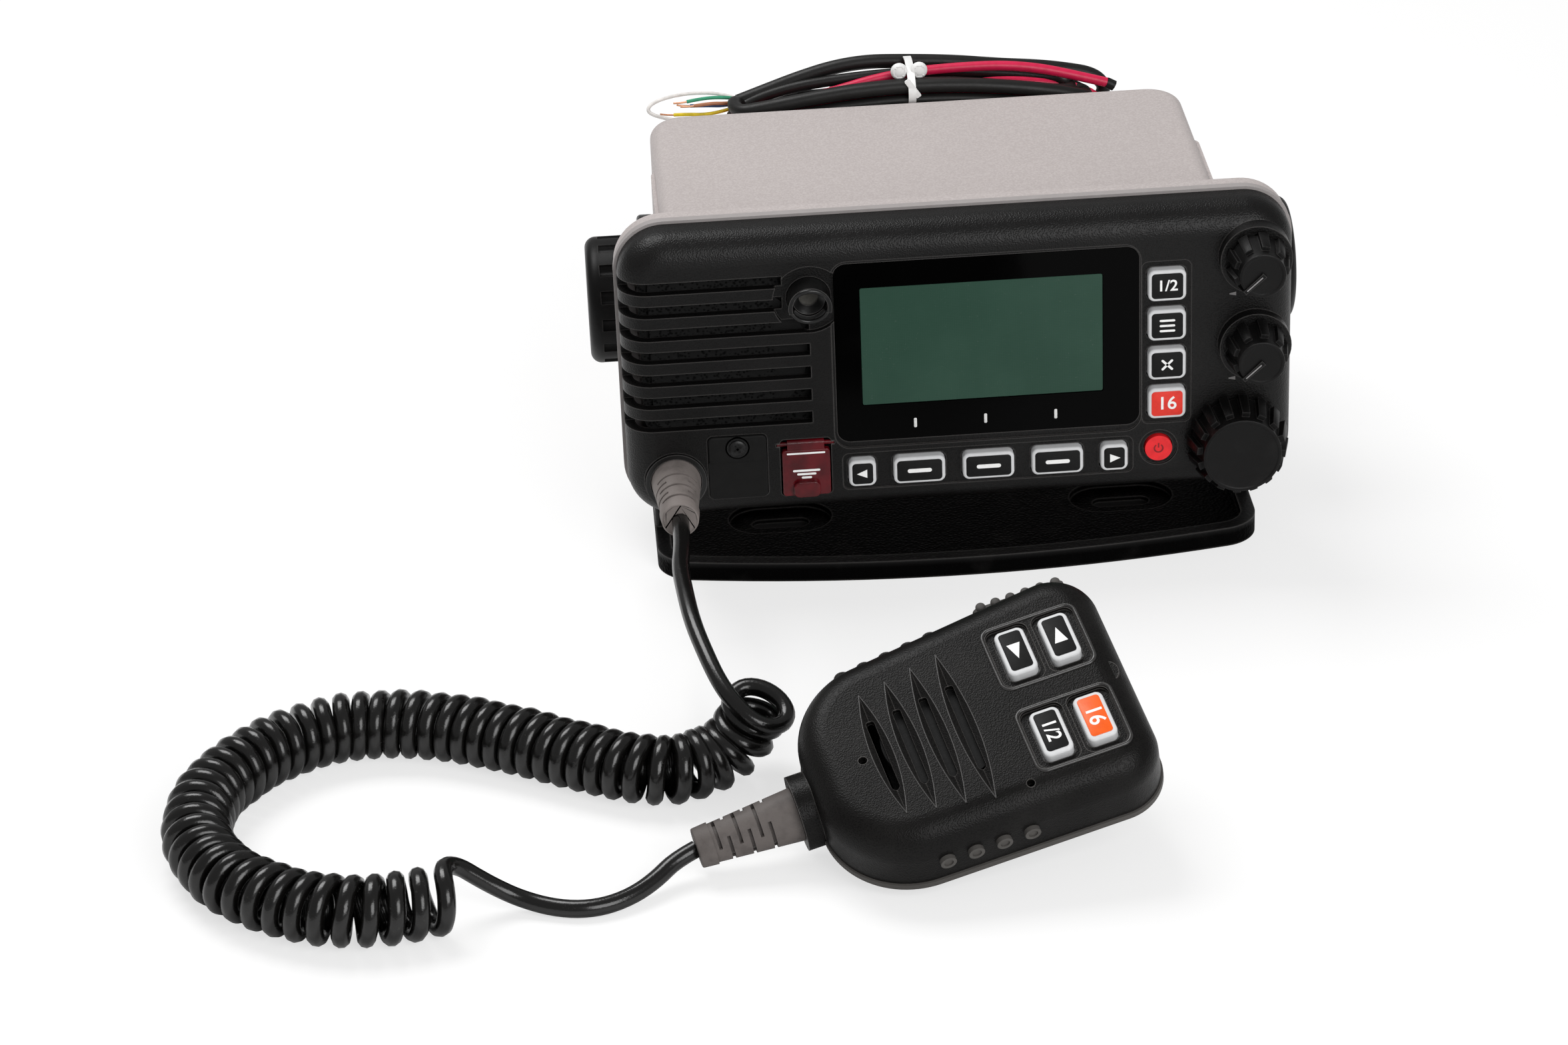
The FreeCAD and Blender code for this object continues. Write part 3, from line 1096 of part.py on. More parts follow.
def on_mic(piece):
    """Remember a piece of the microphone, to be laid down with the rest."""
    mic_pieces.append(piece)


FAR_SLOPE = "((mic_far_head - mic_far_tail) / (mic_head + mic_tail))"


def mic_block(name, inset, low, high, edge=None, side="top"):
    """The microphone's outline, drawn in by an inset, between two heights."""
    body, sketch = start_body(name, "XY_Plane")
    head, tail, near = f"mic_head - ({inset})", f"-mic_tail + ({inset})", f"-mic_near + ({inset})"
    draw_outline(sketch, [(tail, near), (head, near), (head, f"mic_far_head - ({inset}) * (1 + {FAR_SLOPE})"),
                          (tail, f"mic_far_tail - ({inset}) * (1 - {FAR_SLOPE})")])
    feature = pad(body, sketch, f"({high}) - ({low})")
    ends = soften(body, feature, f"mic_tail_round - ({inset})",
                  lambda e: runs_along("z")(e) and e.BoundBox.XMin < 0)
    ends = soften(body, ends, f"mic_head_round - ({inset})",
                  lambda e: runs_along("z")(e) and abs(e.BoundBox.XMin - number(head)) < 1e-4)
    if edge:
        level = ends.Shape.BoundBox.ZMax if side == "top" else 0
        soften(body, ends, edge, flat_at("Z", level))
    return move(body, "0", "0", low)


SEAM = "(-mic_front_depth)"
SEAL_BOTTOM = "(-mic_front_depth - mic_seal_depth)"
MIC_BACK = "(-mic_front_depth - mic_seal_depth - mic_rear_depth)"
COLLAR_LEVEL = "(-mic_front_depth + 1)"
MIC_BOARD = "(-mic_front_depth + 4.6)"
TALK_SIDE = f"(mic_far_head - (mic_head - 2) * {FAR_SLOPE})"
MIC_KEYS = [("down_key", -0.5, 0.5), ("up_key", 0.5, 0.5), ("level_key", -0.5, -0.5),
            ("orange_key", 0.5, -0.5)]
MIC_POSTS = [("-49", "9"), ("-49", "-13"), ("13", "-mic_axis")]


def mic_shells():
    outer = mic_block("front_shell_block", "0", SEAM, "0", edge="mic_face_edge")
    hollow = mic_block("front_shell_room", "mic_wall", f"{SEAM} - 1", "-mic_wall",
                       edge="mic_face_edge - mic_wall")
    collar = cylinder("collar_block", "mic_collar", "mic_collar_length + 2 * mic_wall",
                      "-mic_tail - mic_collar_length", "-mic_axis", COLLAR_LEVEL, "right")
    bumps = []
    for n in range(5):
        along = f"-47 + {n} * mic_bump_pitch"
        bumps.append(cylinder(f"mic_bump_{n}", "mic_bump_radius", "7", along,
                              f"mic_far_tail + (mic_tail + {along}) * {FAR_SLOPE} + mic_bump_proud"
                              " - mic_bump_radius", "-13"))
    posts = [cylinder(f"mic_post_{n}", "post_radius", "mic_front_depth - mic_wall / 2", x, y, SEAM)
             for n, (x, y) in enumerate(MIC_POSTS)]
    shell = cut("front_shell_hollowed", outer, hollow)
    tools = [cylinder("mic_cord_way", "boot_base + fit_clearance", "24", "-mic_tail - mic_collar_length - 2",
                      "-mic_axis", COLLAR_LEVEL, "right"),
             box("talk_opening", "talk_length + 2 * running_clearance", "20",
                 "talk_height + 2 * running_clearance", "1.5", f"{TALK_SIDE} - 8",
                 f"{SEAM} + 2.4 - running_clearance"),
             cylinder("mic_hole", "1", "6", "-15", "-25.5", "-5"),
             cylinder("vent_hole", "1.1", "6", "-50.6", "-3.7", "-5")]
    for n in range(4):
        x, y = f"-45.5 + {n} * mic_slot_pitch", "-mic_axis * 2.5"
        length = f"(mic_slot_length + {n} * mic_slot_growth)"
        wheel = f"({length} ^ 2 / (8 * mic_scoop_depth) + mic_scoop_depth / 2)"
        for side in ("left", "right"):
            tools.append(cone(f"sound_scoop_{n}_{side}", wheel, f"{wheel} - mic_scoop_depth",
                              "mic_scoop_width / 2", x, y, f"{wheel} - mic_scoop_depth", side))
        tools.append(slab(f"sound_slot_{n}", "mic_slot_width", f"mic_slot_share * {length}",
                          "mic_slot_width / 2 - 0.01", "6", x, y, "-5"))
    for name, along, across in MIC_KEYS:
        x, y = f"{along} * mic_key_pitch", f"{across} * mic_key_spread - mic_axis"
        tools.append(slab(name + "_hole", "mic_key_width + 2 * running_clearance",
                          "mic_key_length + 2 * running_clearance", "key_corner", "6", x, y, "-5"))
        tray = "(mic_key_pitch / 2 + mic_key_width / 2 + mic_tray_edge - mic_tray_rib / 2)"
        tools.append(slab(name + "_tray", tray, "mic_key_length + 2 * mic_tray_edge", "key_corner + 0.6",
                          "4", f"{2 * along} * ({tray} / 2 + mic_tray_rib / 2)", y, "-mic_tray_depth"))
    for n, (x, y) in enumerate(MIC_POSTS):
        tools.append(cylinder(f"mic_thread_{n}", "screw_radius + fit_clearance", "10", x, y, f"{SEAM} - 0.5"))
    on_mic(keep(cut("mic_front_shell", join("front_shell_built_up", shell, collar, *posts, *bumps), *tools)))

    outer = mic_block("rear_shell_block", "mic_rear_inset", MIC_BACK, SEAL_BOTTOM, edge="mic_rear_edge",
                      side="bottom")
    hollow = mic_block("rear_shell_room", "mic_rear_inset + mic_wall", f"{MIC_BACK} + mic_wall",
                       f"{SEAL_BOTTOM} + 1", edge="mic_rear_edge - mic_wall", side="bottom")
    flat = mic_block("rear_shell_rim", "0.3", SEAL_BOTTOM + " - 1", SEAL_BOTTOM)
    cord_notch = cylinder("cord_notch", "mic_collar + fit_clearance", "12", "-mic_tail - mic_collar_length",
                          "-mic_axis", COLLAR_LEVEL, "right")
    base = cylinder("stud_pad", "stud_base", "stud_base_height + 1", "-stud_forward", "-mic_axis",
                    f"{MIC_BACK} + 1", "down")
    holes = [cylinder(f"rear_hole_{n}", "screw_radius + fit_clearance", "20", x, y, f"{MIC_BACK} - 1")
             for n, (x, y) in enumerate(MIC_POSTS)]
    heads = [cylinder(f"rear_sink_{n}", "screw_radius * 1.9 + fit_clearance", "5", x, y, f"{MIC_BACK} - 3.7")
             for n, (x, y) in enumerate(MIC_POSTS)]
    posts = [cylinder(f"rear_post_{n}", "post_radius", "mic_rear_depth - 1", x, y, f"{MIC_BACK} + 1")
             for n, (x, y) in enumerate(MIC_POSTS)]
    stud_hole = cylinder("stud_screw_hole", "screw_radius + fit_clearance", "12", "-stud_forward",
                         "-mic_axis", f"{MIC_BACK} - 5")
    shell = cut("rear_shell_hollowed", join("rear_shell_outer", outer, flat), hollow)
    on_mic(keep(cut("mic_rear_shell", join("rear_shell_built_up", shell, base, *posts), stud_hole, cord_notch,
                    *holes, *heads)))


def mic_seal():
    """The grey sealing strip between the shells and the four grip dots on the near side."""
    ring = cut("seal_ring", mic_block("seal_block", "-0.5", SEAL_BOTTOM, SEAM),
               mic_block("seal_hole", "mic_wall + 0.4", f"{SEAL_BOTTOM} - 1", f"{SEAM} + 1"))
    posts = [cylinder(f"seal_post_{n}", "post_radius", "mic_seal_depth", x, y, SEAL_BOTTOM)
             for n, (x, y) in enumerate(MIC_POSTS)]
    holes = [cylinder(f"seal_screw_{n}", "screw_radius + fit_clearance", "4", x, y, f"{SEAL_BOTTOM} - 1")
             for n, (x, y) in enumerate(MIC_POSTS)]
    cord_notch = cylinder("seal_notch", "mic_collar + fit_clearance", "12", "-mic_tail - mic_collar_length",
                          "-mic_axis", COLLAR_LEVEL, "right")
    strip = cut("seal_strip", join("seal_built_up", ring, *posts), cord_notch, *holes)
    dots = []
    for n in range(4):
        x = f"-39.6 + {n} * 7.2"
        dots.append(cut(f"grip_dot_{n}",
                        cylinder(f"dot_{n}", "2", "1.2", x, "-mic_near", "-10", "front"),
                        cylinder(f"dot_dish_{n}", "1.2", "0.5", x, "-mic_near - 0.8", "-10", "front")))
    on_mic(keep(group("mic_seal", strip, *dots)))


def mic_controls():
    for name, along, across in MIC_KEYS:
        x, y = f"{along} * mic_key_pitch", f"{across} * mic_key_spread - mic_axis"
        top = slab(name + "_cap", "mic_key_width", "mic_key_length", "key_corner", "mic_wall + 2.6", x, y,
                   "-mic_wall - 1", edge="0.7")
        lip = slab(name + "_flange", "mic_key_width + 2 * key_lip", "mic_key_length + 2 * key_lip",
                   "key_corner", "0.8", x, y, "-mic_wall - 1")
        on_mic(keep(join(name, top, lip)))
    bar = slab("talk_bar", "talk_length", "talk_proud + 5", "4.4", "talk_height", "1.5",
               f"{TALK_SIDE} + talk_proud / 2 - 2.5", f"{SEAM} + 2.4", edge="4")
    lip = box("talk_lip", "talk_length - 1", "1", "talk_height - 2", "0", f"{TALK_SIDE} - mic_wall - 3.2",
              f"{SEAM} + 1.4")
    on_mic(keep(join("talk_key", bar, lip)))


def mic_insides():
    """The loudspeaker and board in the shells, the screws, the hanger stud and the cord's boot."""
    x, y = "-30", "-mic_axis"
    small_speaker = join("mic_speaker",
                         cylinder("mic_speaker_rim", "15", "1.8", x, y, "-mic_wall - 2.2"),
                         cylinder("mic_speaker_magnet", "9",
                                  f"-mic_wall - 2.2 - {MIC_BOARD} - board_thickness", x, y,
                                  f"{MIC_BOARD} + board_thickness"))
    holes = [cylinder(f"mic_board_hole_{n}", "post_radius + fit_clearance", "6", px, py, f"{MIC_BOARD} - 2")
             for n, (px, py) in enumerate(MIC_POSTS)]
    blank = slab("mic_board_blank", "58", "48", "6", "board_thickness", "-16", y, MIC_BOARD)
    on_mic(keep(group("mic_works", small_speaker, cut("mic_board", blank, *holes))))
    foot = f"{MIC_BACK} - stud_base_height"
    neck = cylinder("stud_neck_part", "stud_neck", "stud_height - 3", "-stud_forward", y, foot, "down")
    head = cylinder("stud_head_part", "stud_head", "3", "-stud_forward", y, f"{foot} - stud_height + 3",
                    "down")
    thread = cylinder("stud_screw_part", "screw_radius", "mic_wall + stud_base_height", "-stud_forward", y,
                      foot)
    on_mic(keep(join("hanger_stud", neck, head, thread)))
    parts = [join(f"mic_screw_{n}",
                  cylinder(f"mic_screw_head_{n}", "screw_radius * 1.9", "1.2", px, py, f"{MIC_BACK} + 0.1"),
                  cylinder(f"mic_screw_shank_{n}", "screw_radius", "mic_rear_depth + mic_seal_depth + 6",
                           px, py, f"{MIC_BACK} + 0.1"))
             for n, (px, py) in enumerate(MIC_POSTS)]
    on_mic(keep(group("mic_screws", *parts)))
    start = "-mic_tail - mic_collar_length"
    taper = cone("mic_boot_taper", "boot_base", "boot_tip", "mic_boot_length", start, y, COLLAR_LEVEL, "left")
    root = cylinder("mic_boot_root", "boot_base", "9", start, y, COLLAR_LEVEL, "right")
    on_mic(keep(join("mic_boot", taper, root)))


def lay_microphone():
    """Turn the microphone as it lies and let its lowest point touch the table."""
    turn = Rotation(number("mic_yaw"), -number("mic_rise"), number("mic_lean"))
    lying = FreeCAD.Placement(Vector(number("mic_across"), -number("mic_ahead"), 0), turn)
    for piece in mic_pieces:
        piece.Placement = lying
    doc.recompute()
    lowest = min(piece.Shape.BoundBox.ZMin for piece in mic_pieces)
    lying.Base.z = -lowest
    for piece in mic_pieces:
        piece.Placement = lying
    return lying


# ---------------------------------------------------------------------------------------------
# Cords: straight runs joined by tangent arcs
# ---------------------------------------------------------------------------------------------

def route(points):
    """The path through chosen points, with an arc at each one as large as its two runs allow."""
    points = [Vector(*p) for p in points]
    edges = []
    radii = []
    here = points[0]
    for before, corner, after in zip(points, points[1:], points[2:]):
        arriving, leaving = (before - corner), (after - corner)
        turn = math.pi - arriving.getAngle(leaving)
        back = 0.47 * min(arriving.Length, leaving.Length)
        radii.append(back / math.tan(turn / 2))
        arriving.normalize()
        leaving.normalize()
        start, end = corner + arriving * back, corner + leaving * back
        inward = (arriving + leaving).normalize()
        middle = corner + inward * (radii[-1] / math.cos(turn / 2) - radii[-1])
        edges.append(Part.LineSegment(here, start).toShape())
        edges.append(Part.Arc(start, middle, end).toShape())
        here = end
    edges.append(Part.LineSegment(here, points[-1]).toShape())
    return Part.Wire(edges), radii


def tube(label, points, diameter):
    """A cord's solid along its route, checked against its section times its length."""
    wire, radii = route(points)
    first = Vector(*points[1]) - Vector(*points[0])
    section = Part.Wire([Part.makeCircle(diameter / 2, Vector(*points[0]), first)])
    shape = wire.makePipeShell([section], True, True)
    expected = math.pi * diameter ** 2 / 4 * wire.Length
    print(f"{label}: length {wire.Length:.1f}, tightest arc {min(radii):.1f}, volume ratio "
          f"{shape.Volume / expected:.4f}")
    if abs(shape.Volume / expected - 1) > 0.01:
        raise ValueError(f"{label} doesn't fill its route")
    feature = doc.addObject("Part::Feature", label)
    feature.Shape = shape
    return keep(feature)


CORD_RADIUS = number("cord_diameter / 2")
COIL_LEVEL = number("coil_diameter / 2") + 0.1
OUTLET = Vector(number("-socket_across"), number(behind("-boot_length")), number(above("-socket_down")))

# from the panel's boot out over the table, to the raised near end of the coil
LEAD = [tuple(OUTLET), tuple(OUTLET + Vector(0, -13, 0)), (-77.5, -97, 34.3), (-74.5, -112, 32),
        (-67, -123, 28.5), (-60.8, -131.5, 22.8), (-62.5, -138.5, 17)]
# along the middle of the coil: down from that end, then in one wide loop to the left of the radio
COIL_START = [(-62.5, -138.5, 17), (-65.2, -143.6, 13.3), (-69.6, -148, 10.6)]
COIL_LOOP = [(-76, -152.3), (-88, -156.5), (-105, -147.5), (-126, -133.5), (-148, -123), (-171, -122),
             (-190, -134), (-203, -154), (-204, -177), (-193, -197), (-174, -210), (-155, -213),
             (-140, -206)]

# from the far end of the coil towards the microphone
FLOOR_LEVEL = CORD_RADIUS + 0.15
TAIL = [(-139.6, -205.6, 6), (-130.5, -201.5, 4.2), (-118, -204.5, FLOOR_LEVEL), (-106, -203.5, FLOOR_LEVEL),
        (-96.5, -195.8, FLOOR_LEVEL)]


def cords(lying):
    """The straight lead, the coil and the tail that runs in line into the microphone's boot."""
    tube("cord_lead", LEAD, number("cord_diameter"))
    coil = COIL_START + [(x, y, COIL_LEVEL) for x, y in COIL_LOOP]
    tube("cord_coil", coil, number("coil_diameter"))
    end = lying.multVec(Vector(number("-mic_tail - mic_collar_length - mic_boot_length"),
                               number("-mic_axis"), number(COLLAR_LEVEL)))
    before = end + lying.Rotation.multVec(Vector(-8, 0, 0))
    tube("cord_tail", TAIL + [tuple(before), tuple(end)], number("cord_diameter"))


def rear_leads():
    """Each lead leaves its gland, turns up and over in half a circle and joins the hank from behind."""
    parts = []
    for n in range(2):
        x = number(f"-gland_across - {n} * gland_pitch")
        start = Vector(x, number(f"{SINK_REAR} + gland_length"), number(above("-gland_down")))
        entry = Vector(x + 12, number(f"{CASE_REAR} + hank_gap + hank_depth"), 0)
        entry.z = number(above(f"sink_top + 0.4 + hank_height / 2 + hank_rise - {HANK_ARCH}"))
        entry.z += math.sqrt(number(HANK_ARCH) ** 2 - entry.x ** 2)
        up = Vector(entry.x - start.x, 0, entry.z - start.z)
        reach = up.Length / 2
        points = [start]
        for out, share in ((0.4142, 0), (1, 0.2929), (1, 0.7071), (0.4142, 1)):
            points.append(start + Vector(0, 6 + out * reach, 0) + up * share)
        points.append(entry)
        wire, radii = route(points)
        section = Part.Wire([Part.makeCircle(number("lead_diameter") / 2, start, Vector(0, 1, 0))])
        parts.append(wire.makePipeShell([section], True, True))
        print(f"rear lead {n}: length {wire.Length:.1f}, tightest arc {min(radii):.1f}")
    feature = doc.addObject("Part::Feature", "rear_leads")
    feature.Shape = Part.makeCompound(parts)
    keep(feature)


# ---------------------------------------------------------------------------------------------
# Build, check and write
# ---------------------------------------------------------------------------------------------

bracket()
clamp_knob(-1, "left")
clamp_knob(1, "right")
friction_washers()
front_panel()
panel_gasket()
chassis()
circuit_boards()
case_screws()
display()
speaker()
cord_outlet()
hood()
port_cover()
distress_switch()
keys()
rotary_controls()
antenna_socket()
cable_glands()
hank()
mic_shells()
mic_seal()
mic_controls()
mic_insides()
cords(lay_microphone())
rear_leads()
doc.recompute()

for thing in doc.Objects:
    if "Invalid" in thing.State or "Error" in thing.State:
        raise ValueError(f"{thing.Label} failed: {thing.State}")
for node in nodes:
    if node.Shape.isNull() or not node.Shape.isValid() or not node.Shape.Solids:
        raise ValueError(f"{node.Label} has no valid solid")

os.makedirs("parts", exist_ok=True)
for node in nodes:
    node.Shape.exportStep(f"parts/{node.Label}.step")
print(f"{len(nodes)} nodes")
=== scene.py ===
import math

import bmesh
import bpy
from mathutils import Matrix, Vector


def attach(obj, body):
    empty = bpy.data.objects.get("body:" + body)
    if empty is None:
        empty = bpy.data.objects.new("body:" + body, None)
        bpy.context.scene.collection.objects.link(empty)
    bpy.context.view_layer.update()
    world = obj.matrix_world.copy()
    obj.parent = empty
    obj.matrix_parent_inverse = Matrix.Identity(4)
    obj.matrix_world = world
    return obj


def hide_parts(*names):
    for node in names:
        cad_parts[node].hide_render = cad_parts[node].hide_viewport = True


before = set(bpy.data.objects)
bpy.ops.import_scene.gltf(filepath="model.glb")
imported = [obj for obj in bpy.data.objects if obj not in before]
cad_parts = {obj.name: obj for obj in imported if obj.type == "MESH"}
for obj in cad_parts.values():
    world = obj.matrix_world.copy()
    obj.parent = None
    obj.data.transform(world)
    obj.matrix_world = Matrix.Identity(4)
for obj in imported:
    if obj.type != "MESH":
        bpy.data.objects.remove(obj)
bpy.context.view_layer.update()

# --------------------
# Table, light and camera
# A pale matt table top under a wide soft lamp, with a second lamp in front and the light of a
# white room all round. The radio stands in the middle and its microphone lies before it.


class Field:
    """A value that varies over a surface. Masks and heights are added and multiplied like numbers."""

    def __init__(self, finish, socket):
        self.finish, self.socket = finish, socket

    def maths(self, operation, *values):
        return self.finish.node("ShaderNodeMath", {"operation": operation}, values or (self,))

    def __add__(self, other):
        return self.maths("ADD", self, other)

    def __rsub__(self, other):
        return self.maths("SUBTRACT", other, self)

    def __mul__(self, other):
        return self.maths("MULTIPLY", self, other)

    def __lt__(self, other):
        return self.maths("LESS_THAN", self, other)

    __radd__, __rmul__ = __add__, __mul__

    def band(self, low, high):
        """0 below low, 1 above high and a smooth step between them."""
        return self.finish.node("ShaderNodeMapRange", {"interpolation_type": "SMOOTHSTEP"},
                                {"Value": self, "From Min": low, "From Max": high})


class Finish:
    """A surface finish: what is the same all over is set on the shader, and a Field is linked to it."""

    def __init__(self, name, kind="materials", shader="Principled BSDF", **sockets):
        self.material = getattr(bpy.data, kind).new(name)
        self.material.use_nodes = True
        self.tree = self.material.node_tree
        self.shader = self.tree.nodes[shader]
        self.place = self.node("ShaderNodeTexCoord", out="Object")
        self.set(**sockets)

    def node(self, kind, settings=None, values=(), out=0):
        """Adds a node with its settings first, then the values or links of its sockets."""
        made = self.tree.nodes.new(kind)
        for setting, value in (settings or {}).items():
            setattr(made, setting, value)
        for socket, value in (values.items() if isinstance(values, dict) else enumerate(values)):
            self.join(value, made.inputs[socket])
        return Field(self, made.outputs[out])

    def join(self, value, socket):
        if isinstance(value, Field):
            self.tree.links.new(value.socket, socket)
        else:
            socket.default_value = value

    def set(self, **sockets):
        for name, value in sockets.items():
            self.join(value, self.shader.inputs[name.replace("_", " ")])

    def axis(self, number):
        """How far along X, Y or Z the surface is, for 0, 1 or 2."""
        return self.node("ShaderNodeSeparateXYZ", {}, (self.place,), number)

    def clouds(self, size, detail=2.0):
        """Noise with patches about this many metres across."""
        return self.node("ShaderNodeTexNoise", {},
                         {"Vector": self.place, "Scale": 1 / size, "Detail": detail})

    def pebbles(self, size):
        """The small round cells of a grained mould, this many metres apart."""
        return self.node("ShaderNodeTexVoronoi", {"feature": "SMOOTH_F1"},
                         {"Vector": self.place, "Scale": 1 / size, "Smoothness": 0.6})

    def stretched(self, x, y, z):
        """The place on the piece with each axis scaled, for grain that runs one way."""
        return self.node("ShaderNodeVectorMath", {"operation": "MULTIPLY"}, (self.place, (x, y, z)))

    def tint(self, mask, plain, marked):
        """The plain colour, turned into the marked one where the mask is 1."""
        plain, marked = (colour if isinstance(colour, Field) else (*colour, 1) for colour in (plain, marked))
        return self.node("ShaderNodeMix", {"data_type": "RGBA"}, {0: mask, 6: plain, 7: marked}, out=2)

    def relief(self, height, distance):
        """Bumps of this height in metres."""
        bump = self.node("ShaderNodeBump", {}, {"Height": height, "Distance": distance, "Strength": 1.0})
        self.set(Normal=bump)

    def edges(self, width):
        """1 along the edges of a moulding and 0 on its flats; the paler tone painted there is partly rubbing
        and partly a painted highlight.
        """
        rounded = self.node("ShaderNodeBevel", {"samples": 6}, {"Radius": width})
        flat = self.node("ShaderNodeNewGeometry", out="Normal")
        alike = self.node("ShaderNodeVectorMath", {"operation": "DOT_PRODUCT"}, (rounded, flat), out="Value")
        return (1 - alike).band(0.015, 0.3)


def coat(piece, finish):
    """Gives the finish to a new piece."""
    piece.data.materials.clear()
    piece.data.materials.append(finish.material)


bpy.context.scene.view_settings.view_transform = "Standard"

room = Finish("room", "worlds", "Background", Color=(1, 1, 1, 1))
seen = room.node("ShaderNodeLightPath", out="Is Camera Ray")
seen_through = room.node("ShaderNodeLightPath", out="Is Transmission Ray")
lit_or_seen = {"Value": seen.maths("MAXIMUM", seen, seen_through), "To Min": 0.34, "To Max": 1.0}
room.set(Strength=room.node("ShaderNodeMapRange", {}, lit_or_seen))
bpy.context.scene.world = room.material

SHADOW_HALF_WIDE, SHADOW_HALF_DEEP = 0.07, 0.037
PAPER_SHARE, PAPER_STRENGTH = 0.62, 1.07
bpy.ops.object.select_all(action="DESELECT")
bpy.ops.mesh.primitive_plane_add(size=8, location=(0, 0, 0))
table = bpy.context.object
table.name = "table"
table_white = Finish("table_white", Roughness=0.75, Specular_IOR_Level=0.15)
across, back = table_white.axis(0).maths("ABSOLUTE"), table_white.axis(1).maths("ABSOLUTE")
# Painted shadow: in a patch under the bracket's foot the table is painted near black and does not glow,
# standing in for the foot's shade.
painted_shadow_under_foot = (across < SHADOW_HALF_WIDE) * (back < SHADOW_HALF_DEEP)
paper = table_white.tint(table_white.clouds(0.35, 3), (0.9, 0.9, 0.9), (0.885, 0.883, 0.88))
table_white.set(Base_Color=table_white.tint(painted_shadow_under_foot, paper, (0.02, 0.02, 0.02)))
paper_seen = table_white.node("ShaderNodeLightPath", out="Is Camera Ray") * PAPER_SHARE * (1 - painted_shadow_under_foot)
paper_lit = Field(table_white, table_white.shader.outputs[0])
paper_glow = table_white.node("ShaderNodeEmission", {}, {"Strength": PAPER_STRENGTH})
table_white.join(table_white.node("ShaderNodeMixShader", {}, (paper_seen, paper_lit, paper_glow)),
                 table_white.tree.nodes["Material Output"].inputs["Surface"])
coat(table, table_white)

bpy.ops.object.light_add(type="AREA", location=(-0.42, 0.36, 1.12), rotation=(-0.33, -0.36, 0))
lamp = bpy.context.object
lamp.data.shape = "RECTANGLE"
lamp.data.size, lamp.data.size_y = 0.75, 0.6
lamp.data.energy = 10.5
bpy.ops.object.light_add(type="AREA", location=(0.5, -1.3, 0.8), rotation=(1.05, 0, 0.35))
fill = bpy.context.object
fill.data.size = 0.9
fill.data.energy = 14.0

CAMERA_AT = (-0.1043, -1.1418, 0.5954)
PICTURE_WIDE, FOCAL_PIXELS, SENSOR_WIDE = 2353, 6837.2, 36
view_right = Vector((0.997, -0.0693, -0.0358)).normalized()
view_ahead = Vector((0.0448, 0.8844, -0.4645)).normalized()
view_up = view_right.cross(view_ahead)
bpy.ops.object.camera_add(location=CAMERA_AT)
camera = bpy.context.object
camera.matrix_world = (Matrix.Translation(CAMERA_AT)
                       @ Matrix((view_right, view_up, -view_ahead)).transposed().to_4x4())
camera.data.sensor_width = SENSOR_WIDE
camera.data.lens = FOCAL_PIXELS / PICTURE_WIDE * SENSOR_WIDE
bpy.context.scene.camera = camera

# --------------------
# Microphone cord
# One length of round cord in soft black vinyl. It leaves the panel's boot as a plain lead, is
# wound into a tight coil for most of its length, and ends as a plain tail in the microphone.
MM = 0.001
CORD = 4.55 * MM
OUTLET = (-77.5, -70, 35)
TURN, INSIDE_POINTS = 6.7, 0.966       # a turn's radius, and how far a curve runs inside its points
STEPS, FIRST_ANGLE = 12, 300           # a turn's points, and where the first turn begins
UPRIGHT, UPRIGHT_RUN = Vector((0.25, -0.3, 0.92)), 25    # the first turns lean up towards the lead
START_PITCH, START_RUN = 6.2, 14
CLOSE_PITCH, UNEVEN_PITCH = 4.95, 0.15
FAR_SLACK, FAR_FROM = 0.5, 130         # pulled open a little further on, and more at the end
END_SLACK, END_RUN = 0.6, 16


def line(name, points):
    """A smooth curve guided by these points, in millimetres."""
    curve = bpy.data.curves.new(name, "CURVE")
    curve.dimensions = "3D"
    curve.resolution_u = 8
    spline = curve.splines.new("NURBS")
    spline.points.add(len(points) - 1)
    for knot, (x, y, z) in zip(spline.points, points):
        knot.co = (x * MM, y * MM, z * MM, 1)
    spline.order_u = 3
    spline.use_endpoint_u = True
    piece = bpy.data.objects.new(name, curve)
    bpy.context.collection.objects.link(piece)
    return piece


def thicken(piece, diameter, around=3):
    """Rounds a line out to a cord."""
    piece.data.bevel_depth = diameter / 2
    piece.data.bevel_resolution = around
    piece.data.use_fill_caps = True


def fasten(piece, finish, body):
    """Finishes a piece and fixes it to the body that carries it."""
    coat(piece, finish)
    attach(piece, body)


coil_route = line("coil_route", [
    (-62.5, -140, 17.2), (-65.2, -143.6, 13.3), (-69.6, -148, 10.6), (-76, -152.3, 9.1), (-88, -156.5, 9.1),
    (-105, -147.5, 9.1), (-126, -133.5, 9.1), (-148, -123, 9.1), (-171, -122, 9.1), (-190, -134, 9.1),
    (-203, -154, 9.1), (-204, -177, 9.1), (-193, -197, 9.1), (-174, -210, 9.1), (-155, -213, 9.1),
    (-136.5, -206.3, 9.1)])
middle = [v.co / MM for v in bpy.data.meshes.new_from_object(coil_route).vertices]
bpy.data.objects.remove(coil_route)
run = [0.0]
for near, far in zip(middle, middle[1:]):
    run.append(run[-1] + (far - near).length)


def along(distance):
    """The coil's middle and its direction this far from its near end."""
    place = max(n for n in range(len(run) - 1) if run[n] <= distance)
    share = (distance - run[place]) / (run[place + 1] - run[place])
    before, after = middle[max(place - 2, 0)], middle[min(place + 3, len(middle) - 1)]
    return middle[place].lerp(middle[place + 1], share), (after - before).normalized()


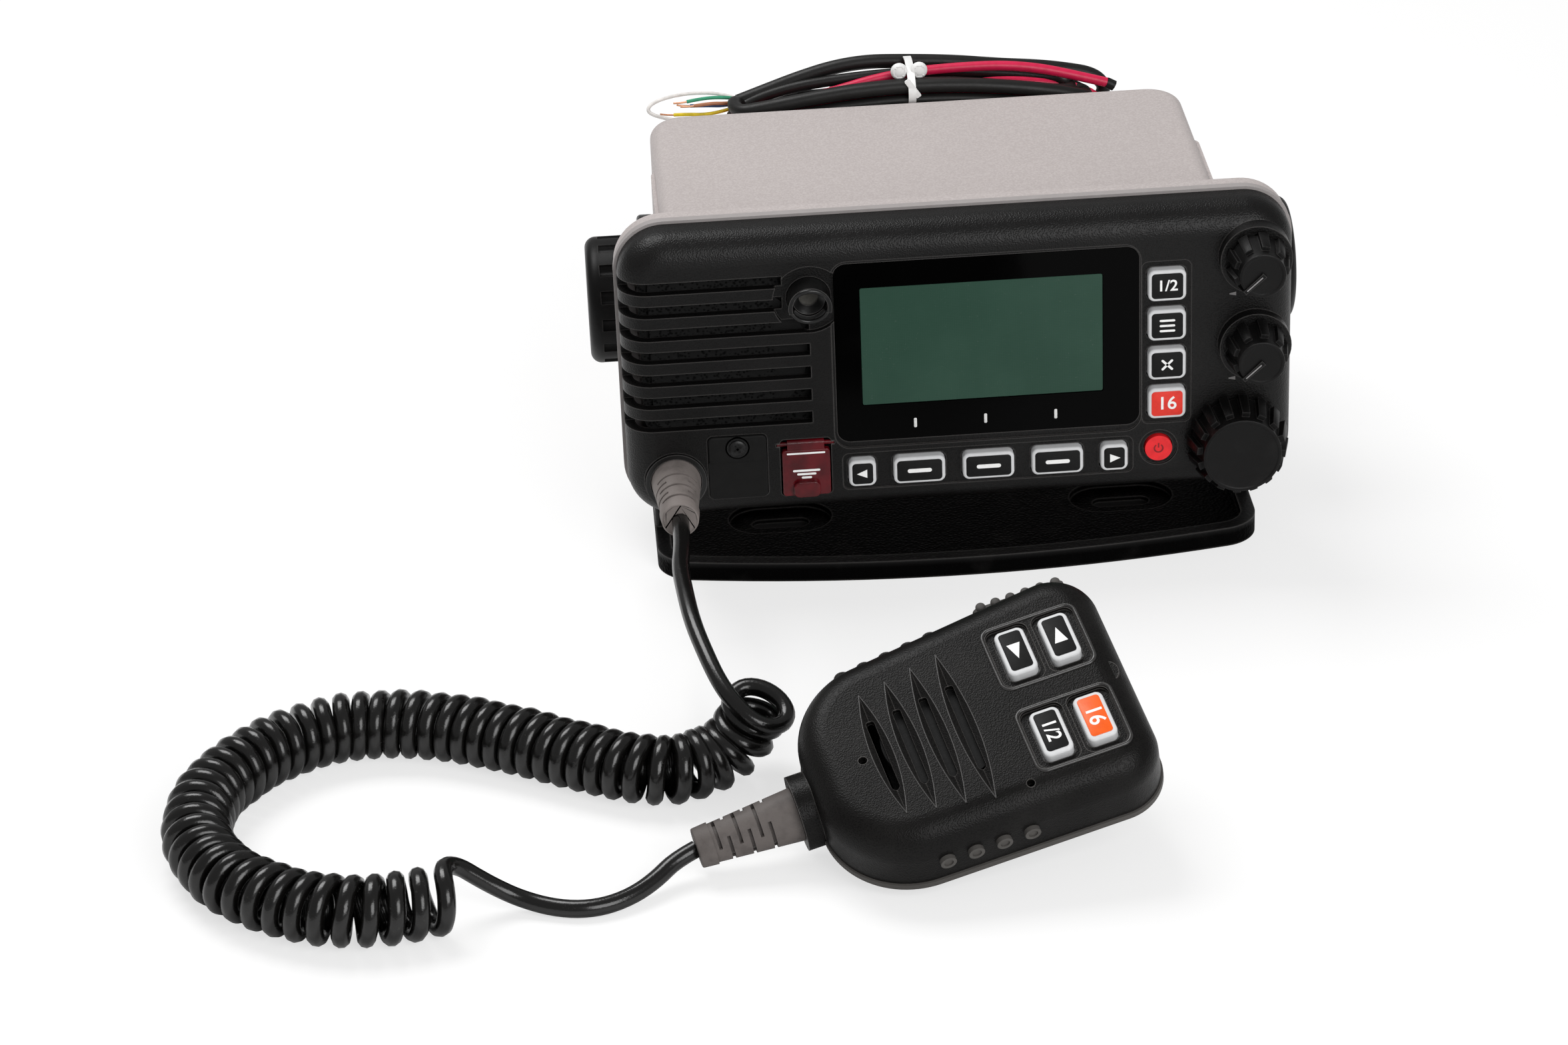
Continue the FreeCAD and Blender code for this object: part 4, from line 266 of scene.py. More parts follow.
turns = []
distance, angle = 0.0, math.radians(FIRST_ANGLE)
while distance < run[-1] - 0.5:
    centre, ahead = along(distance)
    normal = UPRIGHT.lerp(-ahead, min(distance / UPRIGHT_RUN, 1)).normalized()
    aside = normal.cross(Vector((0, 0, 1))).normalized()
    below = normal.cross(aside)
    uneven = 0.012 * math.sin(distance * 0.9) + 0.01 * math.sin(distance * 0.37 + 1)
    wide = TURN / INSIDE_POINTS * (1 + uneven)
    turns.append(tuple(centre + wide * (math.cos(angle) * aside + math.sin(angle) * below)))
    angle += math.radians(360 / STEPS)
    pitch = START_PITCH if distance < START_RUN else CLOSE_PITCH + UNEVEN_PITCH * math.sin(distance * 0.21)
    if distance > FAR_FROM:
        pitch += FAR_SLACK
    if run[-1] - distance < END_RUN:
        pitch += END_SLACK
    distance += pitch / STEPS
while round(math.degrees(angle)) % 360 != FIRST_ANGLE:
    turns.pop()
    angle -= math.radians(360 / STEPS)

lead = [OUTLET, (-77.5, -83, 35), (-78.9, -94.7, 34.5), (-78.3, -105.8, 33.5), (-77, -119.5, 31.2),
        (-74, -132, 27.6), (-71.5, -139.5, 24.5), (-68.5, -144.8, 21.8), (-64.2, -148.8, 18.2),
        (-59, -149.2, 15.8), (-55, -146, 15.8), (-55.2, -141, 17.8), (-59.4, -137, 20.2),
        (-64.8, -135.4, 20.9)]
tail = [(-142, -204.2, 15.8), (-138.8, -201.6, 13.9), (-134.6, -201.6, 10.4), (-130, -201.4, 6.8),
        (-124.5, -202, 3.7), (-117.5, -204.8, 2.45), (-110.5, -207, 2.45), (-103.6, -206.2, 2.45),
        (-96.8, -202.8, 2.9), (-91, -198.2, 4.2), (-86.2, -193.4, 6.2), (-80.81, -191.2, 7.75)]
cord = line("microphone_cord", lead + turns + tail)
thicken(cord, CORD)
cord.data.resolution_u = 4
vinyl = Finish("vinyl_black", Specular_IOR_Level=0.45)
vinyl_dust = vinyl.clouds(0.0007, 3).band(0.62, 0.75) * vinyl.clouds(0.006).band(0.4, 0.6)
vinyl.set(Base_Color=vinyl.tint(vinyl_dust * 0.5, (0.004, 0.0037, 0.0035), (0.03, 0.028, 0.026)),
          Roughness=vinyl.clouds(0.009, 3) * 0.1 + 0.15 + vinyl_dust * 0.2)
vinyl.relief(vinyl.clouds(0.0005, 3), 0.00003)
fasten(cord, vinyl, "stand")
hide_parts("cord_lead", "cord_coil", "cord_tail")

# --------------------
# Boots of the cord
# Two moulded sleeves of grey rubber, one in the panel and one in the microphone. Rows of slits, cut
# from two opposite sides in turn, let each one bend with the cord.
PLACED = Matrix(((0.9652053, -0.2282454, -0.1276041, 8.5 * MM),
                 (0.1563291, 0.8948403, -0.4181172, -181.7 * MM),
                 (0.2096186, 0.3836207, 0.8993860, 42.6245 * MM), (0, 0, 0, 1)))
BOOT_ROOT, BOOT_NOSE, BOOT_WIDE = 6.0 * MM, 4.2 * MM, 6.8 * MM
SLIT_WIDE, SLIT_DEEP, SLIT_HALF_ANGLE = 0.85 * MM, 1.3 * MM, 62
NOSE_PROUD, NOSE_ROUND = 0.45 * MM, 0.5 * MM


def mode(name):
    """Goes to object or edit mode."""
    bpy.ops.object.mode_set(mode=name)


def start():
    """Nothing is selected before a piece is begun."""
    if bpy.context.object and bpy.context.object.mode != "OBJECT":
        mode("OBJECT")
    bpy.ops.object.select_all(action="DESELECT")


def solid(name, kind, **how):
    """Begins a piece as one of the plain solids."""
    start()
    getattr(bpy.ops.mesh, f"primitive_{kind}_add")(**how)
    bpy.ops.object.transform_apply(location=True, rotation=True, scale=True)
    bpy.context.object.name = name
    return bpy.context.object


def pick(piece, wanted, what="faces"):
    """In edit mode, selects the faces or edges whose middle and direction are wanted."""
    bpy.ops.mesh.select_mode(type="FACE" if what == "faces" else "EDGE")
    bpy.ops.mesh.select_all(action="DESELECT")
    shape = bmesh.from_edit_mesh(piece.data)
    for item in getattr(shape, what):
        if what == "faces":
            chosen = wanted(item.calc_center_median(), item.normal)
        else:
            ends = [v.co for v in item.verts]
            chosen = wanted((ends[0] + ends[1]) / 2, (ends[1] - ends[0]).normalized())
        item.select_set(bool(chosen))
    shape.select_flush_mode()
    bmesh.update_edit_mesh(piece.data)


def settle(piece, placed, smooth=35):
    """Fixes a finished piece in its place, with its origin at the frame's."""
    start()
    piece.select_set(True)
    bpy.context.view_layer.objects.active = piece
    piece.matrix_world = placed @ piece.matrix_world
    bpy.ops.object.transform_apply(location=True, rotation=True, scale=True)
    bpy.ops.object.shade_smooth_by_angle(angle=math.radians(smooth))
    piece.select_set(False)


def mount(piece, placed, finish, body, smooth=35):
    """Fixes a finished piece in its place and to the body that carries it."""
    settle(piece, placed, smooth)
    fasten(piece, finish, body)


def shift(x, y, z):
    """A move in millimetres."""
    return Matrix.Translation((x * MM, y * MM, z * MM))


def turn(degrees, axis):
    """A turn about an axis."""
    return Matrix.Rotation(math.radians(degrees), 4, axis)


def boot(name, length, narrow, rows):
    """A tapered sleeve along Z with its slits, its thick end at the bottom."""
    piece = solid(name, "cone", vertices=48, radius1=BOOT_WIDE, radius2=narrow, depth=length,
                  location=(0, 0, length / 2))
    mode("EDIT")
    tip = length - BOOT_NOSE
    pitch = (tip - BOOT_ROOT) / rows
    levels = [BOOT_ROOT + pitch * (n + 0.5) for n in range(rows)]
    cuts = [level + side * SLIT_WIDE / 2 for level in levels for side in (-1, 1)] + [tip]
    for cut in cuts:
        bpy.ops.mesh.select_all(action="SELECT")
        bpy.ops.mesh.bisect(plane_co=(0, 0, cut), plane_no=(0, 0, 1))

    def in_slit(at, facing):
        for n, level in enumerate(levels):
            if abs(facing.z) <= 0.9 and abs(at.z - level) < SLIT_WIDE / 2:
                across = abs(facing.x if n % 2 else facing.y)
                return across > math.cos(math.radians(SLIT_HALF_ANGLE))
        return False

    pick(piece, in_slit)
    bpy.ops.mesh.extrude_region_shrink_fatten(TRANSFORM_OT_shrink_fatten={"value": -SLIT_DEEP})
    pick(piece, lambda at, facing: at.z > tip and abs(facing.z) < 0.9)
    bpy.ops.mesh.extrude_region_shrink_fatten(TRANSFORM_OT_shrink_fatten={"value": NOSE_PROUD})
    pick(piece, lambda at, way: at.z > length - 0.1 * MM and abs(way.z) < 0.2
         and math.hypot(at.x, at.y) > narrow, "edges")
    bpy.ops.mesh.bevel(offset=NOSE_ROUND, segments=3)
    mode("OBJECT")
    return piece


def mottled(name, shine, plain, marked, patches, gloss, bumps, band=None, **sockets):
    """A finish of two close tones in soft patches, a little uneven in gloss, over fine bumps.

    patches holds the size and detail of the patches, gloss the size, detail, spread and least value
    of the roughness, and bumps the size, detail and height of the relief.
    """
    finish = Finish(name, Specular_IOR_Level=shine, **sockets)
    mask = finish.clouds(*patches)
    if band:
        mask = mask.band(*band)
    *cells, spread, least = gloss
    finish.set(Base_Color=finish.tint(mask, plain, marked), Roughness=finish.clouds(*cells) * spread + least)
    *cells, height = bumps
    finish.relief(finish.clouds(*cells), height)
    return finish


for piece, placed, body, node, clean, handled in (
        (boot("panel_boot", 23 * MM, 4.5 * MM, 5), shift(-77.5, -47, 35) @ turn(90, "X"),
         "radio", "cord_boot", (0.205, 0.18, 0.169), (0.155, 0.136, 0.127)),
        (boot("microphone_boot", 26 * MM, 4.6 * MM, 6), PLACED @ shift(-69, -1.5, -16) @ turn(-90, "Y"),
         "microphone", "mic_boot", (0.115, 0.101, 0.095), (0.085, 0.074, 0.07))):
    boot_grey = mottled(
        piece.name + "_rubber", 0.25, clean, handled,
        patches=(0.004, 4), gloss=(0.002, 3, 0.15, 0.5), bumps=(0.0004, 4, 0.00006), band=(0.45, 0.75))
    mount(piece, placed, boot_grey, body)
    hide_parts(node)

# --------------------
# Bracket and its clamps
# A moulded black foot with two arms, pebbled all over so that it hides scratches. Two big plastic
# hand knobs with steel studs clamp the radio between rubber-faced washers.


def dress(finish, *names):
    """Gives the finish to parts of the frame."""
    for name in names:
        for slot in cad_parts[name].material_slots:
            slot.material = finish.material


bracket_black = Finish("bracket_pebbled", Specular_IOR_Level=0.02, Coat_Roughness=0.34)
bracket_bumps = bracket_black.pebbles(0.0009)
bracket_rub = bracket_black.clouds(0.012, 5).band(0.55, 0.8)
bracket_lint = bracket_black.pebbles(0.009).band(0.05, 0.0) * bracket_black.clouds(0.03).band(0.5, 0.6)
# The paler tone: patches of rubbing, lint, and the edges, where it is partly rubbing and partly a painted
# highlight.
bracket_wear_and_sheen = bracket_rub * 0.08 + bracket_lint * 0.2 + bracket_black.edges(0.0012)
bracket_black.set(Base_Color=bracket_black.tint(bracket_wear_and_sheen, (0.0009, 0.0008, 0.0008), (0.06, 0.057, 0.055)),
                  Roughness=bracket_black.clouds(0.0016, 3) * 0.18 + 0.36,
                  Coat_Weight=bracket_black.axis(2).band(0.0034, 0.0062) * 0.5 + 0.01)
bracket_black.relief(1 - bracket_bumps.band(0.05, 0.75), 0.00014)
dress(bracket_black, "bracket")

knob_black = Finish("knob_satin", Specular_IOR_Level=0.16)
# Paler in soft patches from rubbing, and along the edges partly from rubbing and partly as a painted
# highlight.
knob_wear_and_sheen = knob_black.clouds(0.008, 4).band(0.5, 0.75) * 0.06 + knob_black.edges(0.0005)
knob_black.set(Base_Color=knob_black.tint(knob_wear_and_sheen, (0.003, 0.0028, 0.0028), (0.06, 0.057, 0.056)),
               Roughness=knob_black.clouds(0.003, 4) * 0.16 + 0.34)
knob_black.relief(knob_black.clouds(0.00035, 3), 0.00003)
dress(knob_black, "clamp_knob_left", "clamp_knob_right")

steel = Finish("turned_steel", Metallic=1.0)
steel_lines = steel.node("ShaderNodeTexNoise", {}, {"Vector": steel.stretched(300, 4000, 300), "Scale": 1.0})
steel.set(Base_Color=steel.tint(steel.clouds(0.003, 3), (0.55, 0.54, 0.52), (0.42, 0.41, 0.4)),
          Roughness=steel_lines * 0.16 + 0.24)
steel.relief(steel_lines, 0.00002)
dress(steel, "clamp_stud_left", "clamp_stud_right", "mic_screws", "hanger_stud")

rubber = mottled(
    "rubber_black", 0.15, (0.008, 0.0078, 0.0075), (0.018, 0.0175, 0.017),
    patches=(0.004, 4), gloss=(0.001, 3, 0.2, 0.62), bumps=(0.0006, 4, 0.00005))
dress(rubber, "friction_washers", "cable_glands")

# --------------------
# Case
# A die-cast aluminium shell with its fins, sprayed in a warm grey with a fine speckle. The panel's
# screws and the seam strip sit in front of it, the boards and the loudspeaker inside.
case_grey = Finish("case_sprayed", Specular_IOR_Level=0.4)
case_speckle = case_grey.clouds(0.0006, 3)
case_smear = case_grey.clouds(0.03, 4).band(0.4, 0.7)
case_paint = case_grey.tint(case_speckle.band(0.35, 0.7), (0.43, 0.385, 0.375), (0.5, 0.455, 0.443))
case_grey.set(Base_Color=case_paint,
              Roughness=0.46 + case_smear * 0.08 + case_speckle * 0.08)
case_grey.relief(case_grey.clouds(0.00045, 2) * 0.7 + case_grey.clouds(0.002, 2) * 0.3, 0.00006)
dress(case_grey, "chassis")

strip_grey = mottled(
    "seal_strip", 0.3, (0.3, 0.275, 0.27), (0.36, 0.335, 0.33),
    patches=(0.003, 4), gloss=(0.001, 3, 0.15, 0.5), bumps=(0.0005, 3, 0.00004))
dress(strip_grey, "panel_gasket")

board_green = Finish("board_green", Specular_IOR_Level=0.5)
board_tracks = board_green.node("ShaderNodeTexBrick", {"offset": 0.5},
                                {"Vector": board_green.stretched(240, 240, 240), "Mortar Size": 0.09},
                                out="Fac")
board_green.set(Base_Color=board_green.tint(board_tracks, (0.012, 0.09, 0.035), (0.03, 0.16, 0.06)),
                Roughness=0.35 + board_green.clouds(0.002) * 0.15)
board_green.relief(board_tracks, 0.00005)
dress(board_green, "circuit_boards")

works_grey = mottled(
    "works_grey", 0.4, (0.2, 0.2, 0.2), (0.27, 0.26, 0.25),
    patches=(0.002, 4), gloss=(0.001, 3, 0.2, 0.4), bumps=(0.0004, 3, 0.00004))
dress(works_grey, "rotary_controls")
# Near black: the speaker's cone, and the microphone's works behind the scoops' slots, where the near black is
# painted shade.
cone_and_shade_black = mottled(
    "speaker_cone", 0.2, (0.006, 0.006, 0.006), (0.011, 0.011, 0.011),
    patches=(0.002, 4), gloss=(0.001, 3, 0.2, 0.6), bumps=(0.0004, 3, 0.00005))
dress(cone_and_shade_black, "speaker", "mic_works")

# --------------------
# Front panel
# A thick black moulding with a fine leather grain. The loudspeaker's slots, the cord's socket and
# the shallow wells of the keys are moulded into it.


def grained(name, shine, plain, worn_and_highlit, grain, patch_size, edge, least, height):
    """Moulded plastic with a leather grain, a little paler in soft patches and along its edges, where the
    paler tone is partly rubbing and partly a painted highlight.
    """
    finish = Finish(name, Specular_IOR_Level=shine)
    cells = finish.pebbles(grain)
    # The paler tone: grain cells, soft patches, and along the edges partly rubbing and partly a painted
    # highlight.
    wear_and_sheen = cells.band(0.1, 0.6) * 0.05 + finish.clouds(patch_size, 4).band(0.4, 0.7) * 0.03 + finish.edges(edge)
    finish.set(Base_Color=finish.tint(wear_and_sheen, plain, worn_and_highlit), Roughness=finish.clouds(0.0012, 3) * 0.16 + least)
    finish.relief(1 - cells.band(0.05, 0.7), height)
    return finish


panel_black = grained(
    "panel_grained", 0.2, (0.0012, 0.0011, 0.0011), (0.07, 0.066, 0.064),
    grain=0.00045, patch_size=0.02, edge=0.0007, least=0.3, height=0.00005)
dress(panel_black, "front_panel")

mesh_black = Finish("speaker_cloth", Specular_IOR_Level=0.1, Roughness=0.9)
mesh_holes = mesh_black.pebbles(0.0009)
mesh_black.set(Base_Color=mesh_black.tint(mesh_holes.band(0.2, 0.5), (0.002, 0.002, 0.002),
                                          (0.012, 0.012, 0.012)))
mesh_black.relief(mesh_holes, 0.0002)
dress(mesh_black, "speaker_mesh")

ring_black = Finish("ring_gloss", Specular_IOR_Level=0.4)
# Paler in soft patches, and along the edges partly from rubbing and partly as a painted highlight.
ring_wear_and_sheen = ring_black.clouds(0.004, 3) * 0.05 + ring_black.edges(0.0005)
ring_black.set(Base_Color=ring_black.tint(ring_wear_and_sheen, (0.003, 0.003, 0.003), (0.09, 0.086, 0.084)),
               Roughness=ring_black.clouds(0.002, 3) * 0.12 + 0.24)
ring_black.relief(ring_black.clouds(0.0008, 2), 0.00002)
dress(ring_black, "cord_ring", "indicator_hood")

cover_black = mottled(
    "cover_rubber", 0.15, (0.004, 0.004, 0.004), (0.009, 0.0088, 0.0085),
    patches=(0.004, 4), gloss=(0.001, 3, 0.15, 0.52), bumps=(0.0005, 3, 0.00005))
dress(cover_black, "port_cover")
screw_black = mottled(
    "screw_blackened", 0.5, (0.02, 0.02, 0.02), (0.05, 0.05, 0.05),
    patches=(0.001, 3), gloss=(0.0008, 3, 0.15, 0.35), bumps=(0.0004, 3, 0.00002), Metallic=1.0)
dress(screw_black, "case_screws")
lens = mottled(
    "lens_clear", 0.8, (0.07, 0.067, 0.06), (0.12, 0.116, 0.104),
    patches=(0.001, 2), gloss=(0.001, 3, 0.1, 0.08), bumps=(0.0015, 2, 0.00003),
    Coat_Weight=1.0, Coat_Roughness=0.03)
dress(lens, "indicator_lens")

# --------------------
# Display
# A liquid crystal module behind a black glass window. The glass is polished, with a little dust on
# it, and carries three short pale marks above the row of soft keys.
glass_black = Finish("window_glass", Specular_IOR_Level=0.04)
window_dust = glass_black.clouds(0.0004, 4).band(0.68, 0.78) * glass_black.clouds(0.008, 2).band(0.45, 0.6)
glass_black.set(Base_Color=glass_black.tint(window_dust * 0.6, (0.0008, 0.0008, 0.0008), (0.02, 0.02, 0.02)),
                Roughness=0.09 + window_dust * 0.25)
glass_black.relief(glass_black.clouds(0.02, 2), 0.00002)
dress(glass_black, "display_window")

screen = Finish("screen_glass", Specular_IOR_Level=0.1)
screen_flat = screen.node("ShaderNodeCombineXYZ", {}, (screen.axis(0), screen.axis(2), 0.0))
screen_dots = screen.node("ShaderNodeTexBrick", {"offset": 0.0},
                          {"Vector": screen_flat, "Scale": 520.0, "Mortar Size": 0.05,
                           "Brick Width": 0.25, "Row Height": 0.25}, out="Fac")
screen_haze = screen.clouds(0.03, 3).band(0.35, 0.7)
screen_lint = screen.clouds(0.0005, 3).band(0.7, 0.76)
screen_plain = screen.tint(screen_haze, (0.025, 0.062, 0.043), (0.031, 0.073, 0.051))
screen.set(Base_Color=screen.tint(screen_lint * 0.5 + screen_dots * 0.05, screen_plain, (0.11, 0.13, 0.12)),
           Roughness=0.22 + screen_haze * 0.08)
screen.relief(screen.clouds(0.01, 2), 0.00002)
dress(screen, "display_module")


def in_front(x, y, z):
    """The place of a piece that was modelled lying flat and now faces forward from x, y, z in millimetres."""
    return shift(x, y, z) @ turn(90, "X")


def step_in(inward, upward):
    """Insets the picked faces and raises what is left, in millimetres."""
    bpy.ops.mesh.inset(thickness=inward * MM)
    bpy.ops.transform.translate(value=(0, 0, upward * MM))


def plate(name, width, height, thick, corner, edge):
    """A flat plate lying on its back, with rounded corners and a sloping front edge, in millimetres."""
    piece = solid(name, "cube", size=1, location=(0, 0, thick / 2 * MM),
                  scale=(width * MM, height * MM, thick * MM))
    mode("EDIT")
    pick(piece, lambda at, way: abs(way.z) > 0.9, "edges")
    bpy.ops.mesh.bevel(offset=corner * MM, segments=6)
    pick(piece, lambda at, facing: facing.z > 0.9)
    step_in(edge, edge * 0.5)
    mode("OBJECT")
    return piece


backing = plate("grille_cloth", 54, 46, 0.3, 3, 0.1)
mount(backing, in_front(-58, -42.6, 72), mesh_black, "radio")

pale_print = mottled(
    "pale_print", 0.3, (0.72, 0.72, 0.71), (0.5, 0.5, 0.49),
    patches=(0.0006, 3), gloss=(0.0005, 2, 0.2, 0.4), bumps=(0.0003, 2, 0.00001), band=(0.55, 0.8))
for n, across in enumerate((-12.3, 6.7, 25.7)):
    mark = plate(f"window_mark_{n}", 0.8, 2.8, 0.06, 0.3, 0.05)
    mount(mark, in_front(across, -46.4, 47.9), pale_print, "radio")

# --------------------
# Screw beside the port
# A blackened steel screw with a domed head, driven into the panel by the rubber cover of the port. Its
# cross-shaped slot is drawn as two flat black bars of painted shade.
SCREW_X, SCREW_Z, SCREW_RADIUS = -60.6, 44.25, 2.3


def outline(name, corners, thick=0.06):
    """A flat printed shape from its corners in millimetres, raised by its thickness."""
    piece = solid(name, "circle", vertices=len(corners), radius=1, fill_type="NGON")
    for knot, (x, y) in zip(piece.data.vertices, corners):
        knot.co = (x * MM, y * MM, 0)
    mode("EDIT")
    bpy.ops.mesh.select_all(action="SELECT")
    bpy.ops.mesh.normals_make_consistent(inside=False)
    bpy.ops.mesh.extrude_region_move(TRANSFORM_OT_translate={"value": (0, 0, thick * MM)})
    bpy.ops.mesh.select_all(action="SELECT")
    bpy.ops.mesh.normals_make_consistent(inside=False)
    mode("OBJECT")
    return piece


def swung(radius, degrees, x=0, y=0):
    """The point this far from x, y in this direction."""
    return x + radius * math.cos(math.radians(degrees)), y + radius * math.sin(math.radians(degrees))


def bar(name, y, length, width, x=0):
    """A printed bar with round ends, along X."""
    end = (length - width) / 2
    return outline(name, [swung(width / 2, 30 * step - 90, x + end, y) for step in range(7)]
                   + [swung(width / 2, 30 * step + 90, x - end, y) for step in range(7)])


screw_head = solid("port_screw_head", "cylinder", vertices=40, radius=SCREW_RADIUS * MM, depth=0.7 * MM)
mode("EDIT")
pick(screw_head, lambda at, facing: facing.z > 0.9)
step_in(0.35, 0.25)
step_in(0.55, 0.08)
mode("OBJECT")
mount(screw_head, in_front(SCREW_X, -47.95, SCREW_Z), screw_black, "radio")
# Painted shade: flat black bars stand in for the hollow of the screw's cross-shaped slot.
for n, lean in enumerate((32, 122)):
    recess_shade = bar(f"port_screw_cross_{n}", 0, 2.5, 0.62)
    mount(recess_shade, in_front(SCREW_X, -48.63, SCREW_Z) @ turn(lean, "Z"), cover_black, "radio")

# --------------------
# Panel keys
# Each key is a pale grey rubber frame with a hard face on it. The faces are black, one is red, and
# the white signs on them are printed. The round power button is red all over.
COLUMN_X, ROW_Z, ROW_MIDDLE = 55.6, 34.6, 7.1
KEY_FACE_AT, KEY_SIGN_AT = -48.7, -48.86
FACE_THICK, FACE_CORNER, FACE_EDGE = 0.1, 1.0, 0.12
POWER_AT = (53.5, -47.62, 36.1)
RING_OUTSIDE, RING_INSIDE = 1.35, 0.95
LETTER_FATTER = 0.07

key_frame = mottled(
    "key_frame", 0.3, (0.7, 0.705, 0.715), (0.6, 0.605, 0.61),
    patches=(0.002, 4), gloss=(0.001, 3, 0.15, 0.42), bumps=(0.0004, 3, 0.00002))
dress(key_frame, "first_side_key", "second_side_key", "third_side_key", "red_side_key", "left_arrow_key",
      "left_soft_key", "middle_soft_key", "right_soft_key", "right_arrow_key", "down_key", "up_key",
      "level_key", "orange_key")
key_black = mottled(
    "key_face", 0.15, (0.005, 0.005, 0.0052), (0.009, 0.009, 0.009),
    patches=(0.0012, 4), gloss=(0.0008, 3, 0.15, 0.45), bumps=(0.00025, 3, 0.00002))


def coloured_plastic(name, plain, worn):
    """A smooth moulded plastic with slightly uneven colour."""
    return mottled(
        name, 0.35, plain, worn,
        patches=(0.002, 4), gloss=(0.001, 3, 0.12, 0.34), bumps=(0.0004, 3, 0.00002), band=(0.35, 0.75))


key_red = coloured_plastic("key_red", (0.78, 0.035, 0.02), (0.68, 0.028, 0.016))
white_print = mottled(
    "white_print", 0.3, (0.92, 0.92, 0.91), (0.82, 0.82, 0.81),
    patches=(0.0007, 3), gloss=(0.0005, 2, 0.2, 0.42), bumps=(0.0003, 2, 0.00001), band=(0.5, 0.8))


def lettering(name, words, high):
    """Printed signs as a flat mesh, centred on the origin."""
    start()
    bpy.ops.object.text_add()
    piece = bpy.context.object
    piece.name = name
    piece.data.body = words
    piece.data.size = high * MM / 0.7
    piece.data.align_x, piece.data.align_y = "CENTER", "CENTER"
    piece.data.extrude = 0.03 * MM
    piece.data.offset = LETTER_FATTER * MM
    bpy.ops.object.convert(target="MESH")
    return bpy.context.object


for name, level, finish in (("first_side", 84.8, key_black), ("second_side", 73.2, key_black),
                            ("third_side", 61.6, key_black), ("red_side", 50.0, key_red)):
    face = plate(name + "_face", 8.4, 7.2, FACE_THICK, FACE_CORNER, FACE_EDGE)
    mount(face, in_front(COLUMN_X, KEY_FACE_AT, level),
          finish, name + "_push")
for name, words, level, high in (("first_side", "1/2", 84.8, 3.1), ("red_side", "16", 50.0, 3.7)):
    sign = lettering(name + "_sign", words, high)
    mount(sign, in_front(COLUMN_X, KEY_SIGN_AT, level), white_print, name + "_push")
for n in range(3):
    stroke = bar(f"second_side_sign_{n}", 1.5 - 1.5 * n, 4.2, 0.62)
    mount(stroke, in_front(COLUMN_X, KEY_SIGN_AT, 73.2), white_print, "second_side_push")
for n, lean in enumerate((45, -45)):
    stroke = bar(f"third_side_sign_{n}", 0, 4.2, 0.65)
    mount(stroke, in_front(COLUMN_X, KEY_SIGN_AT, 61.6) @ turn(lean, "Z"),
          white_print, "third_side_push")
for name, aside, width in (("left_arrow", -34.2, 7.4), ("left_soft", -18.75, 14), ("middle_soft", 0, 14),
                           ("right_soft", 18.75, 14), ("right_arrow", 34.2, 7.4)):
    face = plate(name + "_face", width - 1.8, 6.1, FACE_THICK, FACE_CORNER, FACE_EDGE)
    mount(face, in_front(ROW_MIDDLE + aside, KEY_FACE_AT, ROW_Z), key_black, name + "_push")
    if width > 10:
        sign = bar(name + "_sign", 0, 6.6, 1.15)
    else:
        way = -1 if aside < 0 else 1
        sign = outline(name + "_sign", [(-1.2 * way, -1.25), (1.6 * way, 0), (-1.2 * way, 1.25)])
    mount(sign, in_front(ROW_MIDDLE + aside, KEY_SIGN_AT, ROW_Z), white_print, name + "_push")

power_red = coloured_plastic("power_red", (0.84, 0.016, 0.022), (0.72, 0.012, 0.017))
dress(power_red, "power_button")
power_print = coloured_plastic("power_print", (0.26, 0.006, 0.01), (0.22, 0.005, 0.008))
open_ring = ([swung(RING_OUTSIDE, 125 + 290 * step / 24) for step in range(25)]
             + [swung(RING_INSIDE, 415 - 290 * step / 24) for step in range(25)])
for name, corners in (("power_sign", open_ring),
                      ("power_stroke", [(-0.2, 0.2), (0.2, 0.2), (0.2, 1.55), (-0.2, 1.55)])):
    sign = outline(name, corners)
    mount(sign, in_front(*POWER_AT), power_print, "power_push")

# --------------------
# Distress cover and button
# A clear dark red cover with a lip for the finger, hinged over a red push button. A printed line
# and three shorter and shorter bars point to the lip.
COVER_AT = (-42.2, -47.93, 36.9)
cover_red = mottled(
    "cover_clear_red", 0.35, (0.055, 0.001, 0.003), (0.11, 0.002, 0.006),
    patches=(0.006, 2), gloss=(0.002, 3, 0.1, 0.16), bumps=(0.001, 2, 0.00003), band=(0.35, 0.65))
dress(cover_red, "distress_cover")
dress(key_red, "distress_button")
for name, above, length, width in (("cover_arrow_0", -0.6, 7.4, 0.62), ("cover_arrow_1", -1.65, 5.2, 0.62),
                                   ("cover_arrow_2", -2.7, 2.8, 0.62), ("cover_line", 4.6, 10.4, 0.5)):
    sign = bar(name, above, length, width)
    mount(sign, in_front(*COVER_AT), white_print, "red_cover")

# --------------------
# Hooded lens
# A short tube of glossy black plastic, cut off at a slant, shades a small lens at its bottom. It has
# a rounded lip, and a black funnel holds the lens.
HOOD_X, HOOD_Z, LIP_RADIUS, LIP_THICK = -39.9, 86.4, 5.2, 1.3


def modify(piece, kind, **settings):
    """Works a modifier into the mesh of a piece."""
    modifier = piece.modifiers.new(kind, kind)
    for setting, value in settings.items():
        setattr(modifier, setting, value)
    bpy.ops.object.modifier_apply(modifier=kind)


def bead(name, points, thick):
    """A thin moulded bead along a path in millimetres, half sunk in a face."""
    start()
    piece = line(name, points)
    thicken(piece, thick * MM, 2)
    piece.select_set(True)
    bpy.context.view_layer.objects.active = piece
    bpy.ops.object.convert(target="MESH")
    return bpy.context.object


